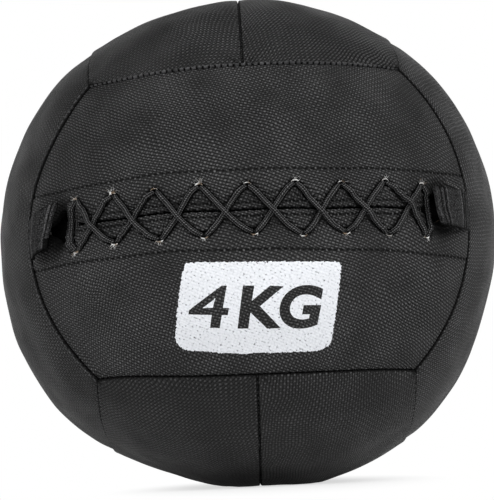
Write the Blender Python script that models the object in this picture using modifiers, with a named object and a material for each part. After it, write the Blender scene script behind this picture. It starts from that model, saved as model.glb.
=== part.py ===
"""A laced wall ball: twelve sewn cover panels over foam pads, fibre padding and a bag of sand.

Metres, +Z up. The ball rests on z = 0, its vertical axis is the Z axis, and the laced slit faces -Y.

The seams follow six planes. Each one cuts the ball at the same distance from its centre, 1 / sqrt(3) of
the radius, so three of them meet in each of eight corners, as on a cube. A face between four corners is
split in half by a centre seam, and the centre seams of neighbouring faces run at right angles to each
other: that gives twelve panels of one shape. The front face's centre seam is left open and laced.
"""

import math

import bmesh
import bpy
import numpy as np
from mathutils import Matrix, Vector

# Whole ball
BALL_WIDTH = 0.350  # across its seams
FLAT_PRESS = 0.0045  # how far the ball settles onto what it rests on
CROWN = 0.0012  # how far a panel's middle stands above its seams
CROWN_REACH = 0.012
SAG_BULGE = 0.0015  # the belly that the filling's weight pushes out, low on the sides
LACING_VALLEY = 0.004  # how far the tight lace draws the front in
VALLEY_REACH = 0.020
LACING_PULL = 0.004  # how far the lace draws the front face's long seams towards the slit
SLIT_RISE = 0.0018  # how far above its face's middle the slit lies
SQUARENESS = 2.1  # 2 is a sphere, and more is squarer

# Cover panels
SKIN = 0.0016
SEAM_GAP = 0.0003
EDGE_ROLL = 0.003  # radius of the turned edge at a seam
HEM_ROLL = 0.002  # the same at the slit
HEM_TURN = 0.0006  # how far the slit's turned edge goes on past its roll
SLIT_GAP = 0.0012
SLIT_GAPE = 0.0025  # how much further each edge stands back at the slit's unlaced ends

# Closure
HOLE_COUNT = 9  # in each row
HOLE_SETBACK = 0.0166
LACE_MARGIN = 0.0474  # from a side seam to the nearest hole
HOLE_HEIGHT = 0.0044
HOLE_CLEARANCE = 0.0005
HEM_DEPTH = 0.030
FACING = 0.0012
TONGUE = 0.0010

# Lace
LACE_DIAMETER = 0.0035
LACE_SELF_GAP = 0.0006
LACE_REST = 0.0003  # gap between the lace and the skin under it
HOLE_SQUEEZE = 0.76  # the soft cord's width in a hole, as a share of its free width
CROSSING_SQUEEZE = 0.88
TAIL_LENGTH = 0.012  # what is left of the lace behind its first and last hole
UPRIGHT_BOW = 0.0018  # how far an upright bows away from the crossings
UPRIGHT_SPREAD = 0.0019  # how much further the outer one of two uprights bows
LACE_SWEEP_SHARE = 0.55  # how much a slanted run eases into its holes, from 0 for straight

# End tabs: a strap folded double and sewn into the side seam over each end of the slit
LEFT_TAB_LENGTH = 0.031
RIGHT_TAB_LENGTH = 0.038
TAB_WIDTH = 0.025
TAB_STRAP = 0.0010
TAB_LAYER_GAP = 0.0003
TAB_LOOP_HALF = 0.0017  # half the distance between the layers at the fold
TAB_STUB = 0.0005  # straight stretch where the strap comes out of the seam
TAB_BEND = 0.0018
TAB_SEAT = 0.0002  # height of the sewn edge above the seam
LEFT_TAB_RISE = -0.0030  # height of a tab's sewn edge over the slit, at its middle
RIGHT_TAB_RISE = 0.0020
LEFT_TAB_SLANT = 0.0075  # how much higher the fold lies than the sewn edge
RIGHT_TAB_SLANT = 0.0003
LEFT_TAB_LIFT = math.radians(9)
RIGHT_TAB_LIFT = math.radians(4)

# Filling
FIT = 0.0003  # gap between soft pieces that touch
BAG_RADIUS = 0.065
BAG_CLOTH = 0.0010
NECK_RADIUS = 0.009
NECK_LENGTH = 0.012
NECK_FLARE = 0.005  # how far the gathered mouth spreads and stands above the tie
TIE_DIAMETER = 0.0025
SAND_LEVEL_SHARE = 0.80  # of the sand's radius

OVERRUN = 0.004  # how far a cutter runs past what it cuts
MERGE_DISTANCE = 0.00002

# Facets
PANEL_COLUMNS = 12
PANEL_ROWS = 4
HEM_ROWS = 3  # of a front panel, beside the slit
FAR_ROWS = 4  # of a front panel, beyond the hem
CLOSURE_COLUMNS = PANEL_COLUMNS - 2
PADDING_SIDES = 20
BAG_SIDES = 16
HOLE_SIDES = 8
RING_SIDES = 6
FOLD_STEPS = 6

# Worked out from the sizes above
RADIUS = BALL_WIDTH / 2
CENTRE_HEIGHT = BALL_WIDTH / 2 - FLAT_PRESS
SEAM_ANGLE = math.acos(1 / math.sqrt(3))  # from a face's axis to the seams that its centre seam runs into
FAR_ANGLE = math.pi / 2 - SEAM_ANGLE  # from a face's axis to its two other seams
SAG_ANGLE = math.radians(-42)
SAG_SPREAD = math.radians(18)
SIDE_SEAM = SEAM_ANGLE * RADIUS  # from the slit's middle to its ends
LACED_HALF_LENGTH = SIDE_SEAM - LACE_MARGIN
HOLE_PITCH = 2 * LACED_HALF_LENGTH / (HOLE_COUNT - 1)
SLOT_PITCH = HOLE_SQUEEZE * LACE_DIAMETER + LACE_SELF_GAP

# How far the middle of a facet of a panel's grid lies inside the ball's true curve
FACET_SAG = RADIUS * (2 - math.cos(SEAM_ANGLE / PANEL_COLUMNS) - math.cos(FAR_ANGLE / PANEL_ROWS / 2))

# Layers, measured in from the skin
FACING_DEPTH = SKIN + FIT
FOAM_DEPTH = SKIN + FACET_SAG + FIT
LACE_DEPTH = FACING_DEPTH + FACING + FACET_SAG + LACE_REST + LACE_DIAMETER / 2
DEEP_LACE_DEPTH = LACE_DEPTH + LACE_DIAMETER + LACE_SELF_GAP
TONGUE_DEPTH = DEEP_LACE_DEPTH + LACE_DIAMETER / 2 + LACE_REST
PADDING_DEPTH = TONGUE_DEPTH + TONGUE + FACET_SAG + FIT
SEAM_DEPTH = PADDING_DEPTH - FIT - FACET_SAG
FOAM = PADDING_DEPTH - FIT - FACET_SAG - FOAM_DEPTH

# Heights of the lace over the skin
LOW_PASS = LACE_REST + LACE_DIAMETER / 2
HIGH_PASS = LOW_PASS + CROSSING_SQUEEZE * LACE_DIAMETER + LACE_SELF_GAP

X, Y, Z = (Vector(axis) for axis in ((1, 0, 0), (0, 1, 0), (0, 0, 1)))

# Each panel's frame: along its face's centre seam, out through the face, and away from that seam
PANELS = {
    "front_upper": (X, -Y, Z),
    "front_lower": (X, -Y, -Z),
    "back_upper": (X, Y, Z),
    "back_lower": (X, Y, -Z),
    "top_left": (Y, Z, -X),
    "top_right": (Y, Z, X),
    "bottom_left": (Y, -Z, -X),
    "bottom_right": (Y, -Z, X),
    "left_front": (Z, -X, -Y),
    "left_back": (Z, -X, Y),
    "right_front": (Z, X, -Y),
    "right_back": (Z, X, Y),
}

FINISHES = {  # linear base colour, roughness
    "cover": ((0.030, 0.030, 0.031), 0.62),
    "facing": ((0.55, 0.54, 0.50), 0.90),
    "tongue": ((0.025, 0.025, 0.025), 0.75),
    "lace": ((0.020, 0.020, 0.021), 0.70),
    "strap": ((0.022, 0.022, 0.023), 0.50),
    "foam": ((0.62, 0.60, 0.52), 0.95),
    "fibre": ((0.72, 0.72, 0.70), 1.00),
    "bag_cloth": ((0.55, 0.52, 0.45), 0.90),
    "sand": ((0.30, 0.22, 0.13), 0.95),
}


def clear_scene():
    for thing in list(bpy.data.objects):
        bpy.data.objects.remove(thing)


def new_collection(name, shown=True):
    collection = bpy.data.collections.new(name)
    collection.hide_render = not shown
    bpy.context.scene.collection.children.link(collection)
    return collection


def make_material(name, finish):
    colour, roughness = FINISHES[finish]
    made = bpy.data.materials.new(name)
    made.use_nodes = True
    shader = made.node_tree.nodes["Principled BSDF"]
    shader.inputs["Base Color"].default_value = (*colour, 1)
    shader.inputs["Roughness"].default_value = roughness
    shader.inputs["Metallic"].default_value = 0
    made.diffuse_color = (*colour, 1)
    return made


def add_object(name, bm):
    mesh = bpy.data.meshes.new(name)
    bm.to_mesh(mesh)
    bm.free()
    return bpy.data.objects.new(name, mesh)


def add_piece(name, bm, finish):
    """Turns a bmesh into a named piece of the ball."""
    made = add_object(name, bm)
    BALL.objects.link(made)
    made.data.materials.append(make_material(name, finish))
    made.data.shade_smooth()
    made.data.set_sharp_from_angle(angle=math.radians(40))
    return made


def add_cutter(name, bm):
    """A shape that only cuts the pieces, and isn't one of them."""
    made = add_object(name, bm)
    CUTTERS.objects.link(made)
    made.hide_render = True
    made.display_type = "WIRE"
    return made


def cut(piece, cutter):
    trim = piece.modifiers.new(cutter.name, "BOOLEAN")
    trim.operation = "DIFFERENCE"
    trim.solver = "EXACT"
    trim.object = cutter


def thicken(piece, thickness, offset=-1):
    wall = piece.modifiers.new("thickness", "SOLIDIFY")
    wall.thickness = thickness
    wall.offset = offset
    wall.use_even_offset = True


def turn(piece, sides):
    """Turns an open profile about the piece's vertical axis."""
    screw = piece.modifiers.new("turning", "SCREW")
    screw.axis = "Z"
    screw.angle = 2 * math.pi
    screw.steps = sides
    screw.render_steps = sides
    screw.use_merge_vertices = True
    screw.merge_threshold = MERGE_DISTANCE
    screw.use_smooth_shade = True


def face_outwards(bm):
    """Makes an open patch's faces point away from the ball's centre."""
    bmesh.ops.recalc_face_normals(bm, faces=bm.faces)
    centre = Vector((0, 0, CENTRE_HEIGHT))
    outward = sum(face.normal.dot(face.calc_center_median() - centre) * face.calc_area() for face in bm.faces)
    if outward < 0:
        bmesh.ops.reverse_faces(bm, faces=bm.faces)


def slope(share):
    """A smooth 0 to 1."""
    share = min(max(share, 0), 1)
    return share * share * (3 - 2 * share)


def ball_radius(direction):
    """The ball's radius under its panels' crowns: squarish, bellied below, and drawn in by the lace."""
    total = sum(abs(part) ** SQUARENESS for part in direction)
    radius = RADIUS / total ** (1 / SQUARENESS)
    height = math.asin(max(-1, min(1, direction.z)))
    radius += SAG_BULGE * math.exp(-(((height - SAG_ANGLE) / SAG_SPREAD) ** 2))
    if direction.y < 0:
        sideways = math.atan2(abs(direction.x), -direction.y) / SEAM_ANGLE
        valley = LACING_VALLEY * math.exp(-(((height * RADIUS - SLIT_RISE) / VALLEY_REACH) ** 2))
        radius -= valley * (1 - slope(sideways))
    return radius


def crown_height(out, off, slit_rise=0):
    """How far the skin stands above its panel's seams, in a direction given by two of its parts."""
    latitude = math.asin(max(-1, min(1, off)))
    to_centre_seam = abs(latitude - slit_rise / RADIUS)
    to_far_seam = FAR_ANGLE - abs(latitude)
    to_side_seam = SEAM_ANGLE - math.acos(min(1, out))
    nearest = max(0, min(to_centre_seam, to_far_seam, to_side_seam)) * RADIUS
    return CROWN * (1 - math.exp(-nearest / CROWN_REACH))


def pulled(direction):
    """The direction after the lace has drawn the front face's long seams towards the slit."""
    if direction.y >= 0:
        return direction
    height = math.asin(max(-1, min(1, direction.z)))
    strength = LACING_PULL / (RADIUS * FAR_ANGLE * math.cos(FAR_ANGLE) ** 2)
    height *= 1 - strength * direction.y**2
    level = math.hypot(direction.x, direction.y)
    shrink = math.cos(height) / level
    return Vector((direction.x * shrink, direction.y * shrink, math.sin(height)))


def point_in_ball(direction, depth, crown=0):
    """A point under the skin. The underside is pressed flat, and its layers lie parallel to the floor."""
    point = pulled(direction) * (ball_radius(direction) + crown - depth)
    point.z = max(point.z + CENTRE_HEIGHT, depth)
    return point


def panel_direction(side_share, row_share, centre_inset, edge_inset):
    """A direction in a panel's frame. side_share runs -1 to 1 along the centre seam, and row_share 0 to 1
    away from it. The insets hold the patch back from its seams, in metres on the surface."""
    low = centre_inset / RADIUS
    high = FAR_ANGLE - edge_inset / RADIUS
    latitude = low + (high - low) * row_share
    reach = math.acos(min(1, math.cos(SEAM_ANGLE - edge_inset / RADIUS) / math.cos(latitude)))
    longitude = reach * side_share
    level = math.cos(latitude)
    return level * math.sin(longitude), level * math.cos(longitude), math.sin(latitude)


def panel_point(frame, local, depth):
    along, out, off = frame
    direction = along * local[0] + out * local[1] + off * local[2]
    return point_in_ball(direction, depth, crown_height(local[1], local[2], slit_rise(frame)))


def slit_rise(frame):
    """How far a panel's edge beside its face's middle lies off that middle. Only the slit's edges do."""
    along, out, off = frame
    return SLIT_RISE * off.z if out == -Y else 0


def closure_point(along, across, height):
    """A point of the closure: along the slit, across it (up is positive), and above the skin."""
    longitude, latitude = along / RADIUS, (across + SLIT_RISE) / RADIUS
    level = math.cos(latitude)
    direction = Vector((level * math.sin(longitude), -level * math.cos(longitude), math.sin(latitude)))
    return point_in_ball(direction, -height, crown_height(-direction.y, direction.z, SLIT_RISE))


def slit_half_gap(side_share):
    """Half the slit's width. It gapes between its last holes and the side seams."""
    laced_share = LACED_HALF_LENGTH / SIDE_SEAM
    past = (abs(side_share) - laced_share) / (1 - laced_share)
    return SLIT_GAP / 2 + SLIT_GAPE * math.sin(math.pi * min(max(past, 0), 1)) ** 2


def edge_rings(roll, end_depth):
    """Inset and depth of each ring of a turned edge, from the flat of the panel to the raw edge inside."""
    half_turn = roll * (1 - math.sqrt(0.5))
    return ((roll, 0), (half_turn, half_turn), (0, roll), (0, end_depth))


def row_shares(laced):
    """Where a panel's rows lie. A front panel's first rows fill its hem, and its facing has the same."""
    if not laced:
        return [row / PANEL_ROWS for row in range(PANEL_ROWS + 1)]
    hem_share = HEM_DEPTH / (FAR_ANGLE * RADIUS)
    hem_rows = [hem_share * row / HEM_ROWS for row in range(HEM_ROWS)]
    return hem_rows + [hem_share + (1 - hem_share) * row / FAR_ROWS for row in range(FAR_ROWS + 1)]


def make_panel(name, frame):
    """A cover panel: a grid laid on the ball, its edges rolled in and turned under along each seam."""
    laced = name.startswith("front")
    shares = row_shares(laced)
    rows = len(shares) - 1
    seam_rings = edge_rings(EDGE_ROLL, SEAM_DEPTH)
    hem_rings = edge_rings(HEM_ROLL, HEM_ROLL + HEM_TURN)
    bm = bmesh.new()
    bmesh.ops.create_grid(bm, x_segments=PANEL_COLUMNS, y_segments=rows, size=1)
    rim = [edge for edge in bm.edges if edge.is_boundary]
    for _ in seam_rings[1:]:
        grown = bmesh.ops.extrude_edge_only(bm, edges=rim)["geom"]
        bmesh.ops.translate(bm, verts=[v for v in grown if isinstance(v, bmesh.types.BMVert)], vec=Z)
        rim = [edge for edge in grown if isinstance(edge, bmesh.types.BMEdge) and edge.is_boundary]
    for vertex in bm.verts:
        side, row, ring = vertex.co.x, round((vertex.co.y + 1) / 2 * rows), round(vertex.co.z)
        inset, depth = seam_rings[ring]
        centre_inset = inset + SEAM_GAP / 2
        if laced:
            centre_inset = hem_rings[ring][0] + slit_half_gap(side) + slit_rise(frame)
            if row == 0 and abs(side) < 1 - 1 / PANEL_COLUMNS:
                depth = hem_rings[ring][1]
        local = panel_direction(side, shares[row], centre_inset, inset + SEAM_GAP / 2)
        vertex.co = panel_point(frame, local, depth)
    face_outwards(bm)
    panel = add_piece(name + "_panel", bm, "cover")
    thicken(panel, SKIN)
    return panel


def make_foam_pad(name, frame):
    """The foam behind a panel. On the front it starts beyond the closure's facing."""
    edge_inset = SEAM_GAP / 2 + EDGE_ROLL + FIT
    closure_inset = HEM_DEPTH + EDGE_ROLL + max(0, slit_rise(frame))
    centre_inset = closure_inset if name.startswith("front") else edge_inset
    bm = bmesh.new()
    bmesh.ops.create_grid(bm, x_segments=PANEL_COLUMNS, y_segments=PANEL_ROWS, size=1)
    for vertex in bm.verts:
        local = panel_direction(vertex.co.x, (vertex.co.y + 1) / 2, centre_inset, edge_inset)
        vertex.co = panel_point(frame, local, FOAM_DEPTH)
    face_outwards(bm)
    thicken(add_piece(name + "_foam", bm, "foam"), FOAM)


def make_facing(name, frame):
    """The strip sewn behind a front panel's hem. It carries the lace holes too."""
    shares = row_shares(True)
    bm = bmesh.new()
    bmesh.ops.create_grid(bm, x_segments=CLOSURE_COLUMNS, y_segments=HEM_ROWS, size=1)
    for vertex in bm.verts:
        side = vertex.co.x * CLOSURE_COLUMNS / PANEL_COLUMNS
        row = round((vertex.co.y + 1) / 2 * HEM_ROWS)
        centre_inset = HEM_ROLL + slit_half_gap(side) + slit_rise(frame)
        local = panel_direction(side, shares[row], centre_inset, EDGE_ROLL + SEAM_GAP / 2)
        vertex.co = panel_point(frame, local, FACING_DEPTH)
    face_outwards(bm)
    facing = add_piece(name + "_lace_facing", bm, "facing")
    thicken(facing, FACING)
    return facing


def make_tongue():
    """The flap behind the lace that keeps the padding in."""
    bm = bmesh.new()
    bmesh.ops.create_grid(bm, x_segments=CLOSURE_COLUMNS, y_segments=2 * HEM_ROWS, size=1)
    for vertex in bm.verts:
        along = vertex.co.x * SIDE_SEAM * CLOSURE_COLUMNS / PANEL_COLUMNS
        vertex.co = closure_point(along, vertex.co.y * HEM_DEPTH, -TONGUE_DEPTH)
    face_outwards(bm)
    thicken(add_piece("lace_tongue", bm, "tongue"), TONGUE)


def cords_in_hole(column):
    """The lace wraps the first column's holes once more than the others."""
    return 3 if column == 0 else 2


def slot_along(column, slot):
    """Where a cord passes a hole, along the slit. Slot 0 is the leftmost."""
    centre = -LACED_HALF_LENGTH + column * HOLE_PITCH
    return centre + (slot - (cords_in_hole(column) - 1) / 2) * SLOT_PITCH


def make_hole_cutter(name, side):
    """One row of round-ended lace holes, for a front panel and its facing."""
    outer, inner = OVERRUN, -LACE_DEPTH
    corner_radius = HOLE_HEIGHT / 2 / math.cos(math.pi / HOLE_SIDES)
    row = bmesh.new()
    for column in range(HOLE_COUNT):
        top = closure_point(-LACED_HALF_LENGTH + column * HOLE_PITCH, side * HOLE_SETBACK, outer)
        foot = closure_point(-LACED_HALF_LENGTH + column * HOLE_PITCH, side * HOLE_SETBACK, inner)
        hole = bmesh.ops.create_cone(
            row,
            cap_ends=True,
            segments=HOLE_SIDES,
            radius1=corner_radius,
            radius2=corner_radius,
            depth=outer - inner,
            matrix=Matrix.Rotation(math.pi / HOLE_SIDES, 4, "Z"),
        )["verts"]
        cords = HOLE_SQUEEZE * LACE_DIAMETER + (cords_in_hole(column) - 1) * SLOT_PITCH
        stretch = (cords + 2 * HOLE_CLEARANCE - HOLE_HEIGHT) / 2
        for vertex in hole:
            vertex.co.x += math.copysign(stretch, vertex.co.x)
        out = (top - foot).normalized()
        right = Z.cross(out).normalized()
        facing_out = Matrix((right, out.cross(right), out)).transposed().to_4x4()
        placed = Matrix.Translation((top + foot) / 2) @ facing_out
        bmesh.ops.transform(row, matrix=placed, verts=hole)
    return add_cutter(name, row)


def lace_stations():
    """The holes that the lace visits in order, as (column, side, slot), from its first end to its last.

    Its first pass crosses upwards to the right and its second crosses back over it. Between two runs over
    the slit it goes down behind it, from the upper hole to the lower one of the same column.
    """
    last = HOLE_COUNT - 1
    stations = [(0, -1, 2)]
    for column in range(1, HOLE_COUNT):
        stations += [(column, 1, 0), (column, -1, 1)]
    stations += [(last, 1, 1), (last, -1, 0)]
    for column in range(last - 1, 0, -1):
        stations += [(column, 1, 1), (column, -1, 0)]
    return stations + [(0, 1, 2), (0, -1, 1), (0, 1, 1), (0, -1, 0), (0, 1, 0)]


def swept(share):
    """A slanted run leaves its holes along the slit, and turns across it on the way."""
    return share + LACE_SWEEP_SHARE * (slope(share) - share)


def lace_run(start, end, steps, bow=0):
    """Points of one run between two holes. Each step is (how far it is from its nearer hole across the
    slit, height, width share), from the start to the middle, and the second half mirrors the first."""
    there = [(step[0] / (2 * HOLE_SETBACK), *step[1:]) for step in steps]
    back = [(1 - share, *rest) for share, *rest in reversed(there[:-1])]
    (start_column, start_side, start_slot), (end_column, end_side, end_slot) = start, end
    from_along, to_along = slot_along(start_column, start_slot), slot_along(end_column, end_slot)
    run = []
    for share, height, width in there + back:
        along = from_along + (to_along - from_along) * share + bow * math.sin(math.pi * share)
        crossed = share if start_column == end_column else swept(share)
        across = (start_side + (end_side - start_side) * crossed) * HOLE_SETBACK
        run.append((closure_point(along, across, height), width))
    return run


def lace_points():
    """The lace's whole route, with its width at each point as a share of its free width."""
    lip = HOLE_HEIGHT / 2
    in_skin = (0, -SKIN / 2, HOLE_SQUEEZE)
    in_facing = (0, -FACING_DEPTH - FACING / 2, HOLE_SQUEEZE)
    over_lip = (lip / 3, LOW_PASS * 0.55, 0.82)
    middle = HOLE_SETBACK
    low_over = [in_skin, over_lip, (lip, LOW_PASS * 0.93, 0.94), (2.2 * lip, LOW_PASS, 1)]
    high_over = list(low_over)
    low_over += [(middle, LOW_PASS, CROSSING_SQUEEZE)]
    rise = HIGH_PASS - LOW_PASS
    high_over += [(middle * 0.6, LOW_PASS + rise * 0.45, 1), (middle * 0.8, LOW_PASS + rise * 0.85, 0.95)]
    high_over += [(middle, HIGH_PASS, CROSSING_SQUEEZE)]
    upright = [in_skin, over_lip, (lip, LOW_PASS * 0.93, 0.86), (2.2 * lip, LOW_PASS, 0.94)]
    upright += [(middle, LOW_PASS, 1)]
    bend = LACE_DIAMETER / 2
    shallow = [in_facing, (bend * 0.3, -LACE_DEPTH + bend * 0.6, 0.78), (bend * 1.2, -LACE_DEPTH, 0.85)]
    shallow += [(middle, -LACE_DEPTH, 1)]
    deep = [in_facing, (0, -LACE_DEPTH, HOLE_SQUEEZE), (bend * 0.3, -DEEP_LACE_DEPTH + bend * 0.6, 0.78)]
    deep += [(bend * 1.2, -DEEP_LACE_DEPTH, 0.85), (middle, -DEEP_LACE_DEPTH, 1)]

    stations = lace_stations()
    turn_back = 2 * HOLE_COUNT - 1  # the run over the slit that ends the first pass
    route = []
    for number, (start, end) in enumerate(zip(stations, stations[1:])):
        if number % 2:
            steps = shallow if number < turn_back or number == len(stations) - 3 else deep
            route += lace_run(start, end, steps)
        elif start[0] == end[0]:
            outer_one = start[0] == 0 and start[2] == 0
            bow = UPRIGHT_BOW + (UPRIGHT_SPREAD if outer_one else 0)
            route += lace_run(start, end, upright, -bow if start[0] == 0 else bow)
        else:
            route += lace_run(start, end, low_over if number < turn_back else high_over)
    first_tail = lace_tail(stations[0])
    last_tail = lace_tail(stations[-1])
    return list(reversed(first_tail)) + route + last_tail


def lace_tail(station):
    """The end of the lace behind its hole, lying away from the slit."""
    column, side, slot = station
    bend = LACE_DIAMETER / 2
    along = slot_along(column, slot)
    steps = (
        (0, -FACING_DEPTH - FACING / 2, HOLE_SQUEEZE),
        (bend * 0.3, -LACE_DEPTH + bend * 0.6, 0.80),
        (bend * 1.2, -LACE_DEPTH, 0.95),
        (TAIL_LENGTH, -LACE_DEPTH, 1),
    )
    tail = []
    for off, height, width in steps:
        tail.append((closure_point(along, side * (HOLE_SETBACK + off), height), width))
    return tail


def least_self_gap(points):
    """The least gap between two stretches of the lace that don't follow each other closely."""
    places, widths, travelled = [], [], []
    distance = 0
    for (start, start_width), (end, end_width) in zip(points, points[1:]):
        length = (end - start).length
        count = max(1, round(length / (LACE_DIAMETER / 4)))
        for step in range(count):
            share = step / count
            places.append(start.lerp(end, share))
            widths.append((start_width + (end_width - start_width) * share) * LACE_DIAMETER / 2)
            travelled.append(distance + length * share)
        distance += length
    places, widths, travelled = np.array(places), np.array(widths), np.array(travelled)
    least = BALL_WIDTH
    for place, width, here in zip(places, widths, travelled):
        apart = travelled - here > math.pi * LACE_DIAMETER
        if apart.any():
            gaps = np.linalg.norm(places[apart] - place, axis=1) - widths[apart] - width
            least = min(least, gaps.min())
    return least


def make_lace():
    points = lace_points()
    curve = bpy.data.curves.new("lace", "CURVE")
    curve.dimensions = "3D"
    curve.bevel_depth = LACE_DIAMETER / 2
    curve.bevel_resolution = 1
    curve.use_fill_caps = True
    spline = curve.splines.new("POLY")
    spline.points.add(len(points) - 1)
    for target, (place, width) in zip(spline.points, points):
        target.co = (*place, 1)
        target.radius = width
    curve.materials.append(make_material("lace", "lace"))
    BALL.objects.link(bpy.data.objects.new("lace", curve))
    print(f"lace: least gap to itself {least_self_gap(points) * 1000:.2f} mm, {len(points)} points")


def make_tab(name, side, length, lift, rise, slant):
    """A doubled strap that comes up out of the side seam, bends over the slit's end and stands off it.

    Its object sits on its hinge line, the sewn edge, and its points are worked out from there.
    """
    hinge = closure_point(side * SIDE_SEAM, rise, TAB_SEAT)
    radial = Vector((side * math.sin(SEAM_ANGLE), -math.cos(SEAM_ANGLE), 0))
    inwards = Vector((-side * math.cos(SEAM_ANGLE), -math.sin(SEAM_ANGLE), 0))
    pressed = (TAB_STRAP + TAB_LAYER_GAP) / 2

    middle = [(0, 0, pressed, 0), (0, TAB_STUB, pressed, 0)]  # inwards, radial, half spread, heading
    for step in range(1, FOLD_STEPS // 2 + 1):
        heading = (math.pi / 2 - lift) * step / (FOLD_STEPS // 2)
        bend_in, bend_up = TAB_BEND * (1 - math.cos(heading)), TAB_STUB + TAB_BEND * math.sin(heading)
        middle.append((bend_in, bend_up, pressed, heading))
    straight = (length - TAB_LOOP_HALF - TAB_STRAP / 2 - bend_in) / math.sin(heading)
    for share in (1 / 2, 1):
        place_in = bend_in + straight * share * math.sin(heading)
        place_up = bend_up + straight * share * math.cos(heading)
        middle.append((place_in, place_up, pressed + (TAB_LOOP_HALF - pressed) * share, heading))

    def off_middle(entry, amount):
        place_in, place_up, _, entry_heading = entry
        return place_in - amount * math.cos(entry_heading), place_up + amount * math.sin(entry_heading)

    outer = [off_middle(entry, entry[2]) for entry in middle]
    inner = [off_middle(entry, -entry[2]) for entry in middle]
    tip_in, tip_up, _, heading = middle[-1]
    fold = []
    for step in range(1, FOLD_STEPS):
        round_angle = math.pi * step / FOLD_STEPS
        ahead = TAB_LOOP_HALF * math.sin(round_angle)
        off = TAB_LOOP_HALF * math.cos(round_angle)
        place_in = tip_in + ahead * math.sin(heading) - off * math.cos(heading)
        place_up = tip_up + ahead * math.cos(heading) + off * math.sin(heading)
        fold.append((place_in, place_up))
    profile = outer + fold + list(reversed(inner))

    bm = bmesh.new()
    lean = slant / length
    edge = [bm.verts.new(inwards * a + radial * b + Z * (a * lean - TAB_WIDTH / 2)) for a, b in profile]
    lines = [bm.edges.new(pair) for pair in zip(edge, edge[1:])]
    grown = bmesh.ops.extrude_edge_only(bm, edges=lines)["geom"]
    bmesh.ops.translate(bm, verts=[v for v in grown if isinstance(v, bmesh.types.BMVert)], vec=Z * TAB_WIDTH)
    bmesh.ops.recalc_face_normals(bm, faces=bm.faces)
    tab = add_piece(name, bm, "strap")
    tab.location = hinge
    thicken(tab, TAB_STRAP, offset=0)


def bag_profile(inset):
    """Half the bag's outline from the sphere's shoulder down to its foot, a given way in from its cloth."""
    radius = BAG_RADIUS - inset
    shoulder = math.asin(NECK_RADIUS / BAG_RADIUS)
    steps = BAG_SIDES // 2
    angles = [shoulder + (math.pi - shoulder) * step / steps for step in range(steps + 1)]
    return [(radius * math.sin(angle), radius * math.cos(angle)) for angle in angles[:-1]] + [(0, -radius)]


def turned_bmesh(profile):
    bm = bmesh.new()
    line = [bm.verts.new((across, 0, up)) for across, up in profile]
    for pair in zip(line, line[1:]):
        bm.edges.new(pair)
    return bm


def make_weight_bag():
    """The cloth bag in the middle, its gathered and tied neck, and the sand that gives the ball weight."""
    centre = Vector((0, 0, CENTRE_HEIGHT))
    neck_foot = bag_profile(0)[0][1]
    tie_level = neck_foot + NECK_LENGTH
    mouth = [
        (NECK_RADIUS + NECK_FLARE, tie_level + NECK_FLARE + TIE_DIAMETER),
        (NECK_RADIUS, tie_level + TIE_DIAMETER),
        (NECK_RADIUS, tie_level - TIE_DIAMETER),
    ]
    bag = add_piece("weight_bag", turned_bmesh(mouth + bag_profile(0)), "bag_cloth")
    turn(bag, BAG_SIDES)
    thicken(bag, BAG_CLOTH)

    level = SAND_LEVEL_SHARE * (BAG_RADIUS - BAG_CLOTH - FIT)
    sand_outline = [point for point in bag_profile(BAG_CLOTH + FIT) if point[1] < level]
    sand = add_piece("weight_sand", turned_bmesh([(0, sand_outline[0][1]), *sand_outline]), "sand")
    turn(sand, BAG_SIDES)

    tie_radius = TIE_DIAMETER / 2
    tie_ring = NECK_RADIUS + FIT + tie_radius
    sections = [2 * math.pi * step / RING_SIDES for step in range(RING_SIDES)]
    tie_bm = bmesh.new()
    section = [
        tie_bm.verts.new((tie_ring + tie_radius * math.sin(angle), 0, tie_radius * math.cos(angle)))
        for angle in sections
    ]
    for number, start in enumerate(section):
        tie_bm.edges.new((start, section[(number + 1) % RING_SIDES]))
    tie = add_piece("bag_tie", tie_bm, "lace")
    turn(tie, BAG_SIDES)

    bag.location = centre
    sand.location = centre
    tie.location = centre + Z * tie_level
    return centre, tie_level


def make_padding(centre, tie_level):
    """Fibre padding packed round the bag in two lots, behind it and in front of it."""
    space_bm = turned_bmesh([(0, BAG_RADIUS + FIT), *bag_profile(-FIT)])
    bag_space = add_cutter("bag_space", space_bm)
    bag_space.location = centre
    turn(bag_space, BAG_SIDES)

    neck_width = NECK_RADIUS + max(NECK_FLARE, TIE_DIAMETER + FIT) + BAG_CLOTH
    neck_top = tie_level + NECK_FLARE + TIE_DIAMETER + BAG_CLOTH
    neck_bm = turned_bmesh([(0, neck_top), (neck_width, neck_top), (neck_width, 0), (0, 0)])
    neck_space = add_cutter("neck_space", neck_bm)
    neck_space.location = centre
    turn(neck_space, BAG_SIDES)

    for name, behind in (("back_padding", 1), ("front_padding", -1)):
        bm = bmesh.new()
        bmesh.ops.create_uvsphere(bm, u_segments=PADDING_SIDES, v_segments=PADDING_SIDES // 2, radius=1)
        for vertex in bm.verts:
            vertex.co = point_in_ball(vertex.co.normalized(), PADDING_DEPTH)
        padding = add_piece(name, bm, "fibre")
        half_bm = bmesh.new()
        bmesh.ops.create_cube(half_bm, size=BALL_WIDTH + 2 * OVERRUN)
        half = add_cutter(name + "_other_half", half_bm)
        half.location = centre - Y * behind * (BALL_WIDTH / 2 + OVERRUN - FIT / 2)
        for cutter in (half, bag_space, neck_space):
            cut(padding, cutter)


clear_scene()
BALL = new_collection("wall_ball")
CUTTERS = new_collection("cutters", shown=False)

for panel_name, panel_frame in PANELS.items():
    cover = make_panel(panel_name, panel_frame)
    make_foam_pad(panel_name, panel_frame)
    if panel_name.startswith("front"):
        holes = make_hole_cutter(panel_name + "_holes", panel_frame[2].z)
        cut(cover, holes)
        cut(make_facing(panel_name, panel_frame), holes)

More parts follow.
